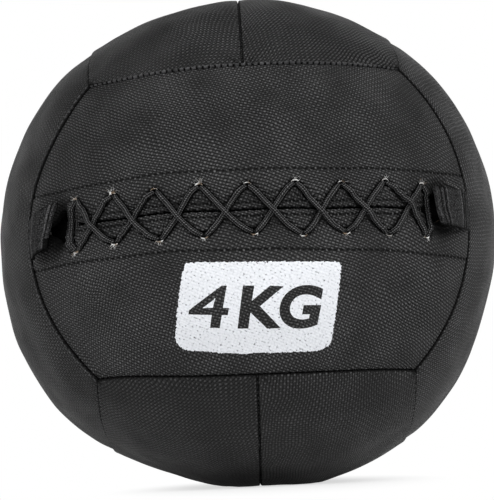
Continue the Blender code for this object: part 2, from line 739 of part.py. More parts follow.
make_tongue()
make_lace()
make_tab("left_end_tab", -1, LEFT_TAB_LENGTH, LEFT_TAB_LIFT, LEFT_TAB_RISE, LEFT_TAB_SLANT)
make_tab("right_end_tab", 1, RIGHT_TAB_LENGTH, RIGHT_TAB_LIFT, RIGHT_TAB_RISE, RIGHT_TAB_SLANT)
make_padding(*make_weight_bag())
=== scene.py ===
# %% [markdown]
# # A laced wall ball, dressed
# A wall ball is a big, light-stuffed training ball. Twelve panels of black coated cloth are sewn round foam
# pads and fibre, with a bag of sand in the middle for the weight. One seam is left open for the stuffing
# and is closed with a braided cord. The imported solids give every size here, and this lesson adds the cloth,
# the stitches, the cord's braid and the light.

import contextlib
import math

import bpy
import numpy as np
from mathutils import Matrix, Quaternion, Vector


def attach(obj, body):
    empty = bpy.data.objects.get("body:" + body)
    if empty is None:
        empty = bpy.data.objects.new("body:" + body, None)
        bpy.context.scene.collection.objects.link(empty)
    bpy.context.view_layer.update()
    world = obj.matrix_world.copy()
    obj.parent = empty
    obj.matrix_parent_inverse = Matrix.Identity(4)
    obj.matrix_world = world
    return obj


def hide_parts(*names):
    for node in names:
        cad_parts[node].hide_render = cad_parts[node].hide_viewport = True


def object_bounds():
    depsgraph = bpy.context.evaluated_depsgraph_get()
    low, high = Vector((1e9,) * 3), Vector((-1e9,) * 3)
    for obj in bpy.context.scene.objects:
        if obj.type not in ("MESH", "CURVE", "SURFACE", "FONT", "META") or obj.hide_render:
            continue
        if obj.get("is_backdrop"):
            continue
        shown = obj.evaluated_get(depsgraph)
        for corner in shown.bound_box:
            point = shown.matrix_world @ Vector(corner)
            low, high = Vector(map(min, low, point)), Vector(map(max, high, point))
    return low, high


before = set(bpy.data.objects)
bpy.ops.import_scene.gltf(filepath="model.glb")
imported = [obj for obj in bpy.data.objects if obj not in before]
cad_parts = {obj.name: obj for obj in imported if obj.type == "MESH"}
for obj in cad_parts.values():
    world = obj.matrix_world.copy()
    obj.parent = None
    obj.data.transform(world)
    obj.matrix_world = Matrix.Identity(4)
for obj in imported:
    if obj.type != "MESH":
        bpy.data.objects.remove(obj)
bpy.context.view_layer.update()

# %% [markdown]
# ## The camera
# The photographer stood over a metre away with a long lens, a little below the ball's middle, and the
# camera (or the ball) was turned by a few degrees. A long lens keeps the ball round. The camera is aimed at
# a point just under the ball's centre, so that no lens shift is needed.

# %% Place the camera
BALL_CENTRE = Vector((0, 0, 0.1705))
CAMERA_PLACE = Vector((-0.0140, -1.2442, 0.0226))
AIM_POINT = Vector((-0.0012, 0.0004, 0.1672))
CAMERA_ROLL = math.radians(-2.74)
camera_data = bpy.data.cameras.new("camera")
camera_data.lens = 125.8
camera_data.sensor_width = 36
camera = bpy.data.objects.new("camera", camera_data)
bpy.context.scene.collection.objects.link(camera)
bpy.context.scene.camera = camera
camera.location = CAMERA_PLACE
camera.rotation_mode = "QUATERNION"
looking = (AIM_POINT - CAMERA_PLACE).to_track_quat("-Z", "Y")
camera.rotation_quaternion = looking @ Quaternion((0, 0, 1), CAMERA_ROLL)
bpy.context.scene.view_settings.view_transform = "Standard"
bpy.context.view_layer.update()
print("camera stands", round((AIM_POINT - CAMERA_PLACE).length, 3), "m from its aim")

# %% [markdown]
# ## Nodes, briefly
# A material is a small network. Written as nested calls, it soon hides what it works out, so what comes out
# of a node is kept here as a signal that knows ordinary sums: the product of two signals adds a Multiply
# node. One helper adds any other node, sets its options by name and feeds its sockets in order, with
# numbers or signals.

# %% Helpers for materials


def add_node(tree, kind, *feeds, out=0, **options):
    """Adds a node. Feeds go to its sockets in order: None skips one, a signal is linked, a number is set."""
    made = tree.nodes.new("ShaderNode" + kind)
    for option, value in options.items():
        setattr(made, option, value)
    for socket, feed in zip(made.inputs, feeds):
        if isinstance(feed, Signal):
            tree.links.new(feed.socket, socket)
        elif feed is not None:
            socket.default_value = feed
    return Signal(tree, made.outputs[out])


class Signal:
    """What comes out of a node."""

    def __init__(self, tree, socket):
        self.tree, self.socket = tree, socket

    def maths(self, operation, *others):
        return add_node(self.tree, "Math", self, *others, operation=operation)

    def __add__(self, other):
        return self.maths("ADD", other)

    def __sub__(self, other):
        return self.maths("SUBTRACT", other)

    def __mul__(self, other):
        return self.maths("MULTIPLY", other)

    def __pow__(self, other):
        return self.maths("POWER", other)

    def __abs__(self):
        return self.maths("ABSOLUTE")

    def sine(self, pitch=2 * math.pi):
        """A wave that repeats at each pitch of this signal."""
        return (self * (2 * math.pi / pitch)).maths("SINE")

    def larger(self, other):
        return self.maths("MAXIMUM", other)

    def vector(self, operation, *others, out=0):
        return add_node(self.tree, "VectorMath", self, *others, out=out, operation=operation)

    def noise(self, scale, detail, *roughness, out=0):
        return add_node(self.tree, "TexNoise", self, None, scale, detail, *roughness, out=out)

    def split(self):
        """A vector's x, y and z."""
        parts = add_node(self.tree, "SeparateXYZ", self).socket.node.outputs
        return [Signal(self.tree, part) for part in parts]

    def remap(self, low, high, start=0.0, end=1.0, way="SMOOTHSTEP"):
        """Goes from start to end while this signal goes from low to high."""
        return add_node(self.tree, "MapRange", self, low, high, start, end, interpolation_type=way)

    def ramp(self, *stops):
        """A colour ramp through (place, grey or colour) stops."""
        made = add_node(self.tree, "ValToRGB", self)
        elements = made.socket.node.color_ramp.elements
        while len(elements) < len(stops):
            elements.new(0.5)
        for element, (place, shade) in zip(elements, stops):
            element.position = place
            element.color = (*shade, 1) if isinstance(shade, tuple) else (shade, shade, shade, 1)
        return made

    def bump(self, distance, below=None):
        """This signal as a height, laid over the bump below it."""
        made = add_node(self.tree, "Bump")
        sockets = made.socket.node.inputs
        sockets["Distance"].default_value = distance
        self.tree.links.new(self.socket, sockets["Height"])
        if below is not None:
            self.tree.links.new(below.socket, sockets["Normal"])
        return made


def new_material(name, colour, roughness, specular=0.5):
    """An empty network with a Principled shader. Constants go straight onto the shader's sockets."""
    made = bpy.data.materials.new(name)
    made.use_nodes = True
    made.diffuse_color = (*colour, 1)
    sockets = made.node_tree.nodes["Principled BSDF"].inputs
    sockets["Base Color"].default_value = (*colour, 1)
    sockets["Roughness"].default_value = roughness
    sockets["Specular IOR Level"].default_value = specular
    return made, made.node_tree


def feed_shader(material, colour, normal, roughness=None):
    """Links a finished network's signals to its shader."""
    sockets = material.node_tree.nodes["Principled BSDF"].inputs
    for name, signal in (("Base Color", colour), ("Normal", normal), ("Roughness", roughness)):
        if signal is not None:
            material.node_tree.links.new(signal.socket, sockets[name])


def object_place(tree):
    return add_node(tree, "TexCoord", out="Object")


def attribute(tree, name):
    return add_node(tree, "Attribute", attribute_name=name, out="Fac")


# %% [markdown]
# ## Floor, air and lamps
# The photograph was taken in a white studio. The floor is a real surface, so that the ball can darken it,
# but most of its white is glow for the camera, which hides the line where floor and backdrop meet. The
# world is white to the camera. Reflections see a white backdrop behind the ball and a dim studio on the
# near side, where the photographer stands, and so black vinyl gets its shape from the lamps and its pale
# rim from the backdrop.

# %% Build the stage
REAL_GLOW = 0.06  # the share of the floor's glow that falls on the ball
bpy.ops.object.select_all(action="DESELECT")
bpy.ops.mesh.primitive_circle_add(vertices=96, radius=12, fill_type="TRIFAN", location=(0, 0, -0.0002))
floor = bpy.context.object
floor.name = "studio_floor"
bpy.ops.object.transform_apply()
floor_paper, tree = new_material("floor_paper", (0.86, 0.86, 0.86), 0.9)
tree.nodes.remove(tree.nodes["Principled BSDF"])
stretched = object_place(tree).vector("MULTIPLY_ADD", (1.0, 0.36, 1.0), (-0.012, 0, 0))
glow_share = stretched.vector("LENGTH", out="Value").remap(0.04, 0.125, 0.66, 1.0)
paper = add_node(tree, "BsdfDiffuse", (0.86, 0.86, 0.86, 1))
glow = add_node(tree, "Emission", (1, 1, 1, 1), 1.0)
glow_seen = (glow_share - REAL_GLOW) * add_node(tree, "LightPath", out="Is Camera Ray") + REAL_GLOW
mixed = add_node(tree, "MixShader", glow_seen, paper, glow)
tree.links.new(mixed.socket, tree.nodes["Material Output"].inputs["Surface"])
floor.data.materials.append(floor_paper)
floor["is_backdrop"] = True

# %% Light the studio
WORLD_LIGHT = 0.20
NEAR_SIDE = 0.07
world = bpy.data.worlds.new("white_studio")
bpy.context.scene.world = world
world.use_nodes = True
tree = world.node_tree
camera_ray, glossy_ray, through_ray = (
    add_node(tree, "LightPath", out=f"Is {kind} Ray") for kind in ("Camera", "Glossy", "Transmission")
)
_, ahead, up = add_node(tree, "TexCoord", out="Generated").split()
backdrop = (up * -0.45 + ahead).remap(0.05, 0.95, NEAR_SIDE, 0.6)
seen = camera_ray.larger(through_ray)
strength = glossy_ray * (backdrop - WORLD_LIGHT) + seen * (1 - WORLD_LIGHT) + WORLD_LIGHT
air = tree.nodes["Background"]
air.inputs["Color"].default_value = (1, 1, 1, 1)
tree.links.new(strength.socket, air.inputs["Strength"])


def add_softbox(name, place, size, power):
    """A square lamp that faces the ball."""
    lamp_data = bpy.data.lights.new(name, "AREA")
    lamp_data.size = size
    lamp_data.energy = power
    lamp = bpy.data.objects.new(name, lamp_data)
    bpy.context.scene.collection.objects.link(lamp)
    lamp.location = place
    lamp.rotation_mode = "QUATERNION"
    lamp.rotation_quaternion = (BALL_CENTRE - Vector(place)).to_track_quat("-Z", "Y")
    return lamp


add_softbox("left_box", (-1.50, -1.05, 1.20), 0.8, 17)
add_softbox("right_box", (1.50, -1.10, 1.20), 0.8, 20)
add_softbox("front_box", (0.1, -1.75, 1.25), 0.6, 13)

# %% [markdown]
# ## The ball's own shape
# The skin isn't a perfect sphere. It is a little squarish from its six faces, bellied low down by the
# weight inside, pressed flat where it stands, crowned between its seams and drawn in along the lacing.
# These are the rules that the imported solids follow, written for whole arrays of points at once. Two more
# are listed for this one well used ball: its outline has slumped by a few millimetres here and there, and
# the front face's corners were sewn in by more than the plan says. Any cloth piece is a flat grid first, and
# each of its points is then laid onto this shape.

# %% Write down the shape
RADIUS = 0.175
SEAM_ANGLE = math.acos(1 / math.sqrt(3))  # from a face's middle to the seams its centre seam runs into
FAR_ANGLE = math.pi / 2 - SEAM_ANGLE  # from a face's middle to its other two seams
SIDE_SEAM = SEAM_ANGLE * RADIUS
SLIT_RISE = 0.0018  # the laced slit lies this far above its face's middle
CROWN = 0.0012
X, Y, Z = np.eye(3)
PANELS = {  # along the face's centre seam, out through the face, away from that seam
    "front_upper": (X, -Y, Z),
    "front_lower": (X, -Y, -Z),
    "back_upper": (X, Y, Z),
    "back_lower": (X, Y, -Z),
    "top_left": (Y, Z, -X),
    "top_right": (Y, Z, X),
    "bottom_left": (Y, -Z, -X),
    "bottom_right": (Y, -Z, X),
    "left_front": (Z, -X, -Y),
    "left_back": (Z, -X, Y),
    "right_front": (Z, X, -Y),
    "right_back": (Z, X, Y),
}

SLUMPS = (  # round the outline from the top by the right: degrees, and millimetres drawn in
    (3, 2.0), (23, 5.4), (45, 3.4), (70, 1.8), (93, 0.6), (110, 4.8), (143, 2.2), (160, 2.2), (174, 0.0),
    (190, 4.6), (205, 7.4), (236, 0.8), (273, 0.5), (315, 2.7), (340, 6.6),
)
SEWN_IN = (  # a place on the front by its x and z shares, its reach, and how far it moves in x and z (mm)
    (-0.577, 0.577, 62, 2.5, -4.1), (0.577, 0.577, 62, -0.6, -1.8), (-0.577, -0.577, 62, 2.3, 5.8),
    (0.577, -0.577, 62, -2.0, 2.7), (-0.66, 0.35, 40, 3.4, -2.4),
)


def ease(share):
    """A smooth 0 to 1."""
    share = np.clip(share, 0, 1)
    return share * share * (3 - 2 * share)


def on_sphere(longitude, latitude):
    """Directions as shares of a face's own axes: along its centre seam, out, and away from that seam."""
    level = np.cos(latitude)
    return np.stack([level * np.sin(longitude), level * np.cos(longitude), np.sin(latitude)], 1)


def hill(distance, reach):
    """1 at no distance, fading smoothly over a reach."""
    return np.exp(-((distance / reach) ** 2))


def unit(vectors):
    return vectors / np.linalg.norm(vectors, axis=1)[:, None]


def slump(direction):
    """How far the outline, seen from the front, is drawn in. It fades towards the front and the back."""
    angles, depths = np.array(SLUMPS).T
    degrees = np.arange(-30, 391)
    table = np.interp(degrees, angles, depths / 1000, period=360)
    table = np.convolve(table, np.full(15, 1 / 15), mode="same")
    here = np.degrees(np.arctan2(direction[:, 0], direction[:, 2])) % 360
    return np.interp(here, degrees, table) * (1 - ease((np.abs(direction[:, 1]) - 0.18) / 0.42))


def ball_radius(direction):
    radius = RADIUS / (np.abs(direction) ** 2.1).sum(1) ** (1 / 2.1) - slump(direction)
    height = np.arcsin(np.clip(direction[:, 2], -1, 1))
    radius += 0.0015 * hill(height - math.radians(-42), math.radians(18))
    sideways = np.arctan2(np.abs(direction[:, 0]), -direction[:, 1]) / SEAM_ANGLE
    valley = 0.004 * hill(height * RADIUS - SLIT_RISE, 0.020) * (1 - ease(sideways))
    return radius - np.where(direction[:, 1] < 0, valley, 0)


def crown_height(out, off, rise=0.0):
    """How far the skin swells between its seams."""
    latitude = np.arcsin(np.clip(off, -1, 1))
    to_side_seam = SEAM_ANGLE - np.arccos(np.minimum(1, out))
    to_long_seams = np.minimum(np.abs(latitude - rise / RADIUS), FAR_ANGLE - np.abs(latitude))
    nearest = np.maximum(0, np.minimum(to_long_seams, to_side_seam)) * RADIUS
    return CROWN * (1 - np.exp(-nearest / 0.012))


def sewn_in(direction):
    """Moves directions near the front's corners as their seams were sewn."""
    moved = direction.copy()
    for x, z, reach, right, up in SEWN_IN:
        spot = np.array([x, -math.sqrt(1 - x * x - z * z), z])
        away = np.arccos(np.clip(direction @ spot, -1, 1)) * RADIUS
        push = np.array([right, -(right * x + up * z) / spot[1], up]) / 1000 / RADIUS
        moved += hill(away, reach / 1000)[:, None] * push
    return unit(moved)


def pulled(direction):
    """The lace draws the front face's long seams towards the slit."""
    direction = sewn_in(direction)
    height = np.arcsin(np.clip(direction[:, 2], -1, 1))
    strength = 0.004 / (RADIUS * FAR_ANGLE * math.cos(FAR_ANGLE) ** 2)
    height = height * (1 - strength * np.where(direction[:, 1] < 0, direction[:, 1], 0) ** 2)
    shrink = np.cos(height) / np.maximum(np.hypot(direction[:, 0], direction[:, 1]), 1e-9)
    return np.stack([direction[:, 0] * shrink, direction[:, 1] * shrink, np.sin(height)], 1)


def point_in_ball(direction, depth, crown=0.0):
    """Points under the skin, with the underside pressed flat onto the floor."""
    points = pulled(direction) * (ball_radius(direction) + crown - depth)[:, None]
    points[:, 2] = np.maximum(points[:, 2] + BALL_CENTRE.z, depth)
    return points


def closure_point(along, across, height):
    """Points of the closure: along the slit, across it (up is positive), and above the skin."""
    given = (np.atleast_1d(value).astype(float) for value in (along, across, height))
    along, across, height = np.broadcast_arrays(*given)
    direction = on_sphere(along / RADIUS, (across + SLIT_RISE) / RADIUS) * (1, -1, 1)
    return point_in_ball(direction, -height, crown_height(-direction[:, 1], direction[:, 2], SLIT_RISE))


print("side seam to side seam over the front:", round(2 * SIDE_SEAM * 1000, 1), "mm")

# %% [markdown]
# ## The relief of the cloth
# Stuffed cloth is never smooth. Broad soft lumps come from the foam and fibre inside. On the two laced
# panels there is more: a rolled lip at the slit, grooves under the lines of stitching, small creases that
# run along the lip, and a dent round each lace hole. All of it is a height over the skin, in metres, worked
# out from where a point lies on its panel. Broad lumps are a sum of long, slow waves in seeded directions.

# %% Lumps, lips, grooves and dents
HOLES = {  # above the slit (1) and below it (-1): millimetres along it and away from it, turned to metres
    1: (
        (-122.2, 16.0), (-90, 15.7), (-60.4, 14.4), (-31.5, 15.8), (-1, 15.5),
        (29.4, 16.3), (59.4, 15.3), (90.2, 16.4), (119.8, 15.6),
    ),
    -1: (
        (-120.6, 17.0), (-89.4, 14.9), (-58.4, 16.9), (-29.6, 16.2), (2, 15.0),
        (33, 16.7), (61, 15.4), (90.8, 16.9), (121.6, 16.6),
    ),
}
HOLES = {side: np.array(places) / 1000 for side, places in HOLES.items()}
SEAM_STITCH = HEM_STITCH = 0.0040
LIP_STITCH = 0.0025
LIP_DISTANCE = 0.0046  # from the slit to the stitches beside it
LUMP_HEIGHT = 0.00055
WAVES = np.random.default_rng(7)
WAVE_DIRECTIONS = unit(WAVES.normal(size=(26, 3)))
WAVE_LENGTHS = WAVES.uniform(0.016, 0.060, 26)
WAVE_PHASES = WAVES.uniform(0, 2 * math.pi, 26)


def lumps(points, scale=1.0):
    """A smooth random height from -1 to 1, roughly."""
    total = 0
    for direction, length, phase in zip(WAVE_DIRECTIONS, WAVE_LENGTHS * scale, WAVE_PHASES):
        total = total + length * np.sin(points @ direction * 2 * math.pi / length + phase)
    return total / (WAVE_LENGTHS.sum() * scale) * 3


def slit_wander(along):
    """The slit and its lips don't run quite straight."""
    return 0.0013 * hill(along + 0.050, 0.050) + 0.0003 * np.sin(along / 0.011)


def hem_distance(along, side):
    """How far the hem's stitches run from the slit, above it (1) and below it (-1)."""
    above = 0.0252 + 0.0010 * hill(along, 0.070)
    below = 0.0270 + 0.016 * along + 0.06 * along**2
    return np.where(side > 0, above, below)


def mouth_depth(along, across):
    """The slit's ends gape under the tabs. The left one sags."""
    return 0.0085 * hill(np.abs(along) - 0.1365, 0.0130) * hill(across - 0.0020, 0.0150)


def closure_relief(along, distance, side):
    """The extra height of a laced panel, at a distance from the slit."""
    edge = distance / 0.0044
    height = 0.0006 * np.sin(math.pi * np.clip(edge, 0, 1)) ** 0.8
    pull = 1 + 0.35 * np.cos(along * 2 * math.pi / LIP_STITCH)
    height -= 0.00035 * hill(distance - LIP_DISTANCE, 0.0009) * pull
    hem = hem_distance(along, side)
    tug = 1 + 0.5 * np.cos(along * 2 * math.pi / HEM_STITCH)
    height -= 0.00055 * hill(distance - hem, 0.0010) * tug
    height -= 0.0004 * ease((distance - hem) / 0.003)
    window = ease((distance - 0.005) / 0.002) * (1 - ease((distance - 0.011) / 0.005))
    wander = 2.2 * np.sin(along / 0.013 + side) + 1.3 * np.sin(along / 0.0057)
    height += 0.00055 * window * np.sin(distance * 2 * math.pi / 0.0042 + wander)
    for place, setback in HOLES[side]:
        away = np.hypot((along - place) / 1.3, distance - setback)
        height += 0.0004 * hill(away - 0.0052, 0.0018) - 0.0011 * hill(away, 0.0032)
    height = height * (1 - ease((np.abs(along) - 0.128) / 0.030) * (distance < 0.016) * 0.7)
    return height - mouth_depth(along, distance * side)


print("holes above and below the slit:", len(HOLES[1]), len(HOLES[-1]))

# %% [markdown]
# ## Coated cloth
# The cover is a coarse plain weave under a skin of soft black vinyl. Close up it is rows of small pillows,
# one for each place where a thread comes up, about 2 mm by 1.6 mm, and each pillow catches a little light.
# An image could give this, but a pattern worked out from the cloth's own UV map stays sharp at any
# distance, and it turns with each panel's grain. The pillows are two sine waves multiplied: without their
# signs for the rows and columns, and with them to lift every other pillow. The gaps between the rows are
# the deeper ones. The pillows are a bump, and the colour also paints a highlight on each pillow's top and
# shade in the gaps. Slow noise bends the threads and dulls or polishes the vinyl in patches. Painted shade
# darkens the colour in three places where shade falls: on a seam's turned edge, in the furrow beside the
# cord, and in the mouth at each end of the slit. It also darkens the stitch dents, and a few whole panels
# are painted darker where less light falls on them.

# %% Make the cover's material
WEAVE_PITCH = (0.00203, 0.00193)


def weave_height(cloth):
    """The woven pillows, from 0 to 1.3."""
    slow = cloth.noise(34.0, 1.0, out="Color").vector("MULTIPLY_ADD", (0.007, 0.007, 0), cloth)
    quick = cloth.noise(170.0, 2.0, out="Color").vector("SUBTRACT", (0.5, 0.5, 0.5))
    bent = quick.vector("MULTIPLY_ADD", (0.0008, 0.0008, 0.0008), slow)
    across, along, _ = bent.split()
    column, row = across.sine(2 * WEAVE_PITCH[0]), along.sine(2 * WEAVE_PITCH[1])
    return column * row * 0.30 + abs(column) ** 0.6 * abs(row) ** 1.25


def seam_pucker(tree):
    """The tiny gathers that each stitch pulls up beside a seam."""
    near = (attribute(tree, "seam_distance") * (-1 / 0.0022)).maths("EXPONENT")
    return attribute(tree, "seam_run").sine(SEAM_STITCH) * near


def sewn_line(from_line, width, pitch):
    """Dashes along a sewn line: 1 where a stitch sinks in, and the shallow groove that they lie in."""
    near = from_line * (1 / width)
    groove = (near * near * -1).maths("EXPONENT")
    return groove * attribute(from_line.tree, "slit_along").sine(pitch).remap(-0.75, 0.0), groove


def painted_shade_places(tree):
    """Painted shade: 1 on a seam's turned edge, close beside the cord and inside the slit's mouths, where
    shade falls.
    """
    uneven = attribute(tree, "seam_run").sine(SEAM_STITCH) * -0.00022 + attribute(tree, "seam_distance")
    edge = uneven.remap(0.0006, 0.0012, 0.97, 0)
    # painted shade in the furrow beside the cord, on top of the furrow's real depth
    painted_cord_shade = attribute(tree, "from_cord").remap(0.0019, 0.0030, 0.96, 0)
    return edge.larger(painted_cord_shade).larger(attribute(tree, "mouth"))


cover_vinyl, tree = new_material("cover_vinyl", (0.0095, 0.0095, 0.0098), 0.4, 0.22)
cloth = add_node(tree, "UVMap", uv_map="cloth")
pillows = weave_height(cloth)
grain = cloth.noise(2600.0, 3.0)
polish = cloth.noise(28.0, 3.0).remap(0.35, 0.65, way="LINEAR")
hem_dash, hem_groove = sewn_line(attribute(tree, "from_hem"), 0.00090, HEM_STITCH)
lip_dash, lip_groove = sewn_line(attribute(tree, "from_lip"), 0.00070, LIP_STITCH)
dashes = hem_dash.larger(lip_dash)
# painted shade on the seams' turned edges, beside the cord and in the slit's mouths
painted_shade = painted_shade_places(tree)
# the polish patches are real wear; the panel shade is painted shade, lower on the panels where less light
# falls
wear_and_panel_shade = (polish * 0.30 + 0.62) * attribute(tree, "tone")
# painted shade: the colour goes nearly black in the stitch dents and in the painted shade places
weave_wear_and_painted_light = pillows * wear_and_panel_shade * ((dashes * 0.95).larger(painted_shade) * -1 + 1)
gloss = dashes.larger(painted_shade) * 0.5 + (grain * 0.10 + (polish * -0.10 + 0.37))
grooves = dashes * 0.8 + hem_groove.larger(lip_groove)
sewn = (grooves * -1).bump(0.00035, pillows.bump(0.00065))
# painted light: the colour ramp paints a highlight on each pillow's top and shade in the gaps between
# pillows, besides their bump
feed_shader(
    cover_vinyl,
    weave_wear_and_painted_light.ramp((0, (0.0006, 0.0006, 0.0006)), (0.34, (0.0200, 0.0200, 0.0203)), (1, (0.122, 0.122, 0.124))),
    grain.bump(0.00005, seam_pucker(tree).bump(0.00045, sewn)),
    gloss,
)
print("cover material has", len(tree.nodes), "nodes")

# %% [markdown]
# ## Cover panels
# Each panel is a strip of cloth with its edges turned in at the seams. It starts as a flat grid. The rim is
# extruded ring by ring, and the ring's number, held for a moment as its height, says how far round the
# turned edge a point belongs. Then every point is laid on the ball. The cloth's UV map is in metres and
# turned by the panel's grain, so one material serves all twelve. Solidify gives the cloth its thickness.

# %% Helpers for laying cloth


def select_only(*pieces):
    """Selects these pieces alone and makes the first one active."""
    if bpy.context.object and bpy.context.object.mode != "OBJECT":
        bpy.ops.object.mode_set(mode="OBJECT")
    bpy.ops.object.select_all(action="DESELECT")
    for piece in pieces:
        piece.select_set(True)
    if pieces:
        bpy.context.view_layer.objects.active = pieces[0]


@contextlib.contextmanager
def editing(piece):
    """Edit mode, with all of one piece selected."""
    select_only(piece)
    bpy.ops.object.mode_set(mode="EDIT")
    bpy.ops.mesh.select_all(action="SELECT")
    yield
    bpy.ops.object.mode_set(mode="OBJECT")


def join(pieces, name):
    select_only(*pieces)
    bpy.ops.object.join()
    pieces[0].name = name
    return pieces[0]


def add_object(name, data):
    made = bpy.data.objects.new(name, data)
    bpy.context.scene.collection.objects.link(made)
    return made


def new_grid(name, columns, rows):
    """A flat grid from -1 to 1 both ways."""
    select_only()
    bpy.ops.mesh.primitive_grid_add(x_subdivisions=columns, y_subdivisions=rows, size=2)
    made = bpy.context.object
    made.name = name
    return made


def get_points(piece):
    flat = np.empty(len(piece.data.vertices) * 3)
    piece.data.vertices.foreach_get("co", flat)
    return flat.reshape(-1, 3)


def set_points(piece, points):
    piece.data.vertices.foreach_set("co", np.ascontiguousarray(points, dtype=np.float32).ravel())
    piece.data.update()


def read_numbers(rows, key):
    """One whole number from each row of a mesh."""
    numbers = np.empty(len(rows), dtype=np.int32)
    rows.foreach_get(key, numbers)
    return numbers


def set_corner_uv(piece, name, places):
    """A UV map from one place per face corner."""
    for layer in list(piece.data.uv_layers):
        piece.data.uv_layers.remove(layer)
    layer = piece.data.uv_layers.new(name=name)
    layer.data.foreach_set("uv", places.astype(np.float32).ravel())


def set_uv(piece, name, places):
    """A UV map in metres, from one place per vertex."""
    set_corner_uv(piece, name, places[read_numbers(piece.data.loops, "vertex_index")])


def set_attributes(piece, **values):
    for name, numbers in values.items():
        made = piece.data.attributes.new(name, "FLOAT", "POINT")
        made.data.foreach_set("value", numbers.astype(np.float32))


def apply_modifier(piece, kind, **options):
    """Adds a modifier, sets it and applies it."""
    select_only(piece)
    made = piece.modifiers.new(kind.lower(), kind)
    for option, value in options.items():
        setattr(made, option, value)
    bpy.ops.object.modifier_apply(modifier=made.name)


def cut_out(piece, cutter):
    apply_modifier(piece, "BOOLEAN", operation="DIFFERENCE", solver="EXACT", object=cutter)
    bpy.data.objects.remove(cutter)


def thicken(piece, thickness):
    """Turns an open cloth's faces away from the ball's centre, and gives it its thickness inwards."""
    with editing(piece):
        bpy.ops.mesh.normals_make_consistent(inside=False)
    outward = sum(face.normal.dot(face.center - BALL_CENTRE) * face.area for face in piece.data.polygons)
    if outward < 0:
        piece.data.flip_normals()
    apply_modifier(piece, "SOLIDIFY", thickness=thickness, offset=-1)


def finish_piece(piece, material, body="ball", stands_for=(), smooth=50):
    """Gives a finished mesh its material and its body, and hides the imported parts that it stands for."""
    piece.data.materials.clear()
    piece.data.materials.append(material)
    select_only(piece)
    bpy.ops.object.shade_smooth_by_angle(angle=math.radians(smooth))
    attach(piece, body)
    if stands_for:
        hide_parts(*stands_for)


# %% [markdown]
# ## The cord's route over the cloth
# The closure's lace is a round braided cord, 3.3 mm thick, laced like a boot. It crosses the slit upwards
# to the right through every hole, stands up at the right end, and comes back over itself, ending in two
# uprights at the left. It leaves a hole flat along the slit and only then turns across, because the hole's
# edge bends it. The route is planned before the cloth is laid, since the padded cloth is furrowed under a
# tight cord.

# %% Plan the cord's runs outside the cloth
CORD = 0.0033
SLOT_PITCH = 0.0033
RUN_STEPS = 15


def cord_stations():
    """The holes in the order that the cord visits them: column, side and slot."""
    stations = [(0, -1, 2)]
    for column in range(1, 9):
        stations += [(column, 1, 0), (column, -1, 1)]
    stations += [(8, 1, 1), (8, -1, 0)]
    for column in range(7, 0, -1):
        stations += [(column, 1, 1), (column, -1, 0)]
    return stations + [(0, 1, 2), (0, -1, 1), (0, 1, 1), (0, -1, 0), (0, 1, 0)]


def slot_place(column, side, slot):
    """Where a cord passes its hole: along the slit, and across it."""
    place, setback = HOLES[side][column]
    in_hole = 3 if column == 0 else 2
    return place + (slot - (in_hole - 1) / 2) * SLOT_PITCH * 0.94, side * setback


def swing(share, start_slope, end_slope):
    """A path from 0 to 1 that leaves and arrives at given slopes."""
    two, three = share**2, share**3
    return (three - 2 * two + share) * start_slope + (3 * two - 2 * three) + (three - two) * end_slope


def outer_path(start, end, second_pass, hand):
    """One run over the cloth, along the slit and across it."""
    (a0, c0), (a1, c1) = slot_place(*start), slot_place(*end)
    share = np.linspace(0, 1, RUN_STEPS)
    if start[0] == end[0]:
        outward = -1 if start[0] == 0 else 1
        bow = outward * (0.0050 if start[0] == 0 else 0.0038)
        return a0 + (a1 - a0) * share + bow * np.sin(math.pi * share), c0 + (c1 - c0) * share
    slopes = np.array((0.35, 1.0) if second_pass else (0.55, 0.55)) * hand.uniform(0.85, 1.15, 2)
    if start == (8, -1, 0):
        slopes = (1.6, 0.8)  # the last hole lets the cord straight up
    return a0 + (a1 - a0) * share, c0 + (c1 - c0) * swing(share, *slopes)


STATIONS = cord_stations()
LAST_OF_FIRST_PASS = 16
cord_hand = np.random.default_rng(3)
OUTER_PATHS = {
    number: outer_path(STATIONS[number], STATIONS[number + 1], number > LAST_OF_FIRST_PASS, cord_hand)
    for number in range(0, len(STATIONS) - 1, 2)
}
print("runs over the cloth:", len(OUTER_PATHS))

# %% Lay a cover panel on the ball
EDGE_ROLL = 0.0010
SEAM_GAP = 0.0006
SIDE_SEAM_GAP = 0.0018  # the laced face's short seams show a broader dark line
FURROW = 0.0014
SEAM_DEPTH = 0.0134
ROLL_STEPS = 5
HEM_TURN = 0.0036
SKIN = 0.0016
CLOTH_TAPER = 0.6  # how much of a ball's narrowing towards the poles a panel is cut to
SLIT_GAP = 0.0012
PROUD_RIM = 0.0014  # the top and bottom panels stand proud where they meet the others
GAPE_PLACE = 0.1365
PAINTED_PANEL_SHADES = {  # painted shade: these panels' colour is lowered where less light falls on them
    "bottom_left": 0.70, "bottom_right": 0.76, "top_left": 0.83, "top_right": 0.90, "left_front": 0.75,
}
GRAIN_DEGREES = {
    "front_upper": 22, "front_lower": -23, "back_upper": 12, "back_lower": -24, "top_left": 55,
    "top_right": -30, "bottom_left": -38, "bottom_right": 8, "left_front": 16, "left_back": 20,
    "right_front": 40, "right_back": -10,
}


def slit_half_gap(side_share, sign):
    """Half the slit's width. Under the end tabs it gapes like a mouth, mostly upwards, most on the left."""
    reach = np.where(sign > 0, 0.0122, np.where(side_share < 0, 0.0098, 0.0068))
    return SLIT_GAP / 2 + reach * hill(np.abs(side_share) * SIDE_SEAM - GAPE_PLACE, 0.0108)


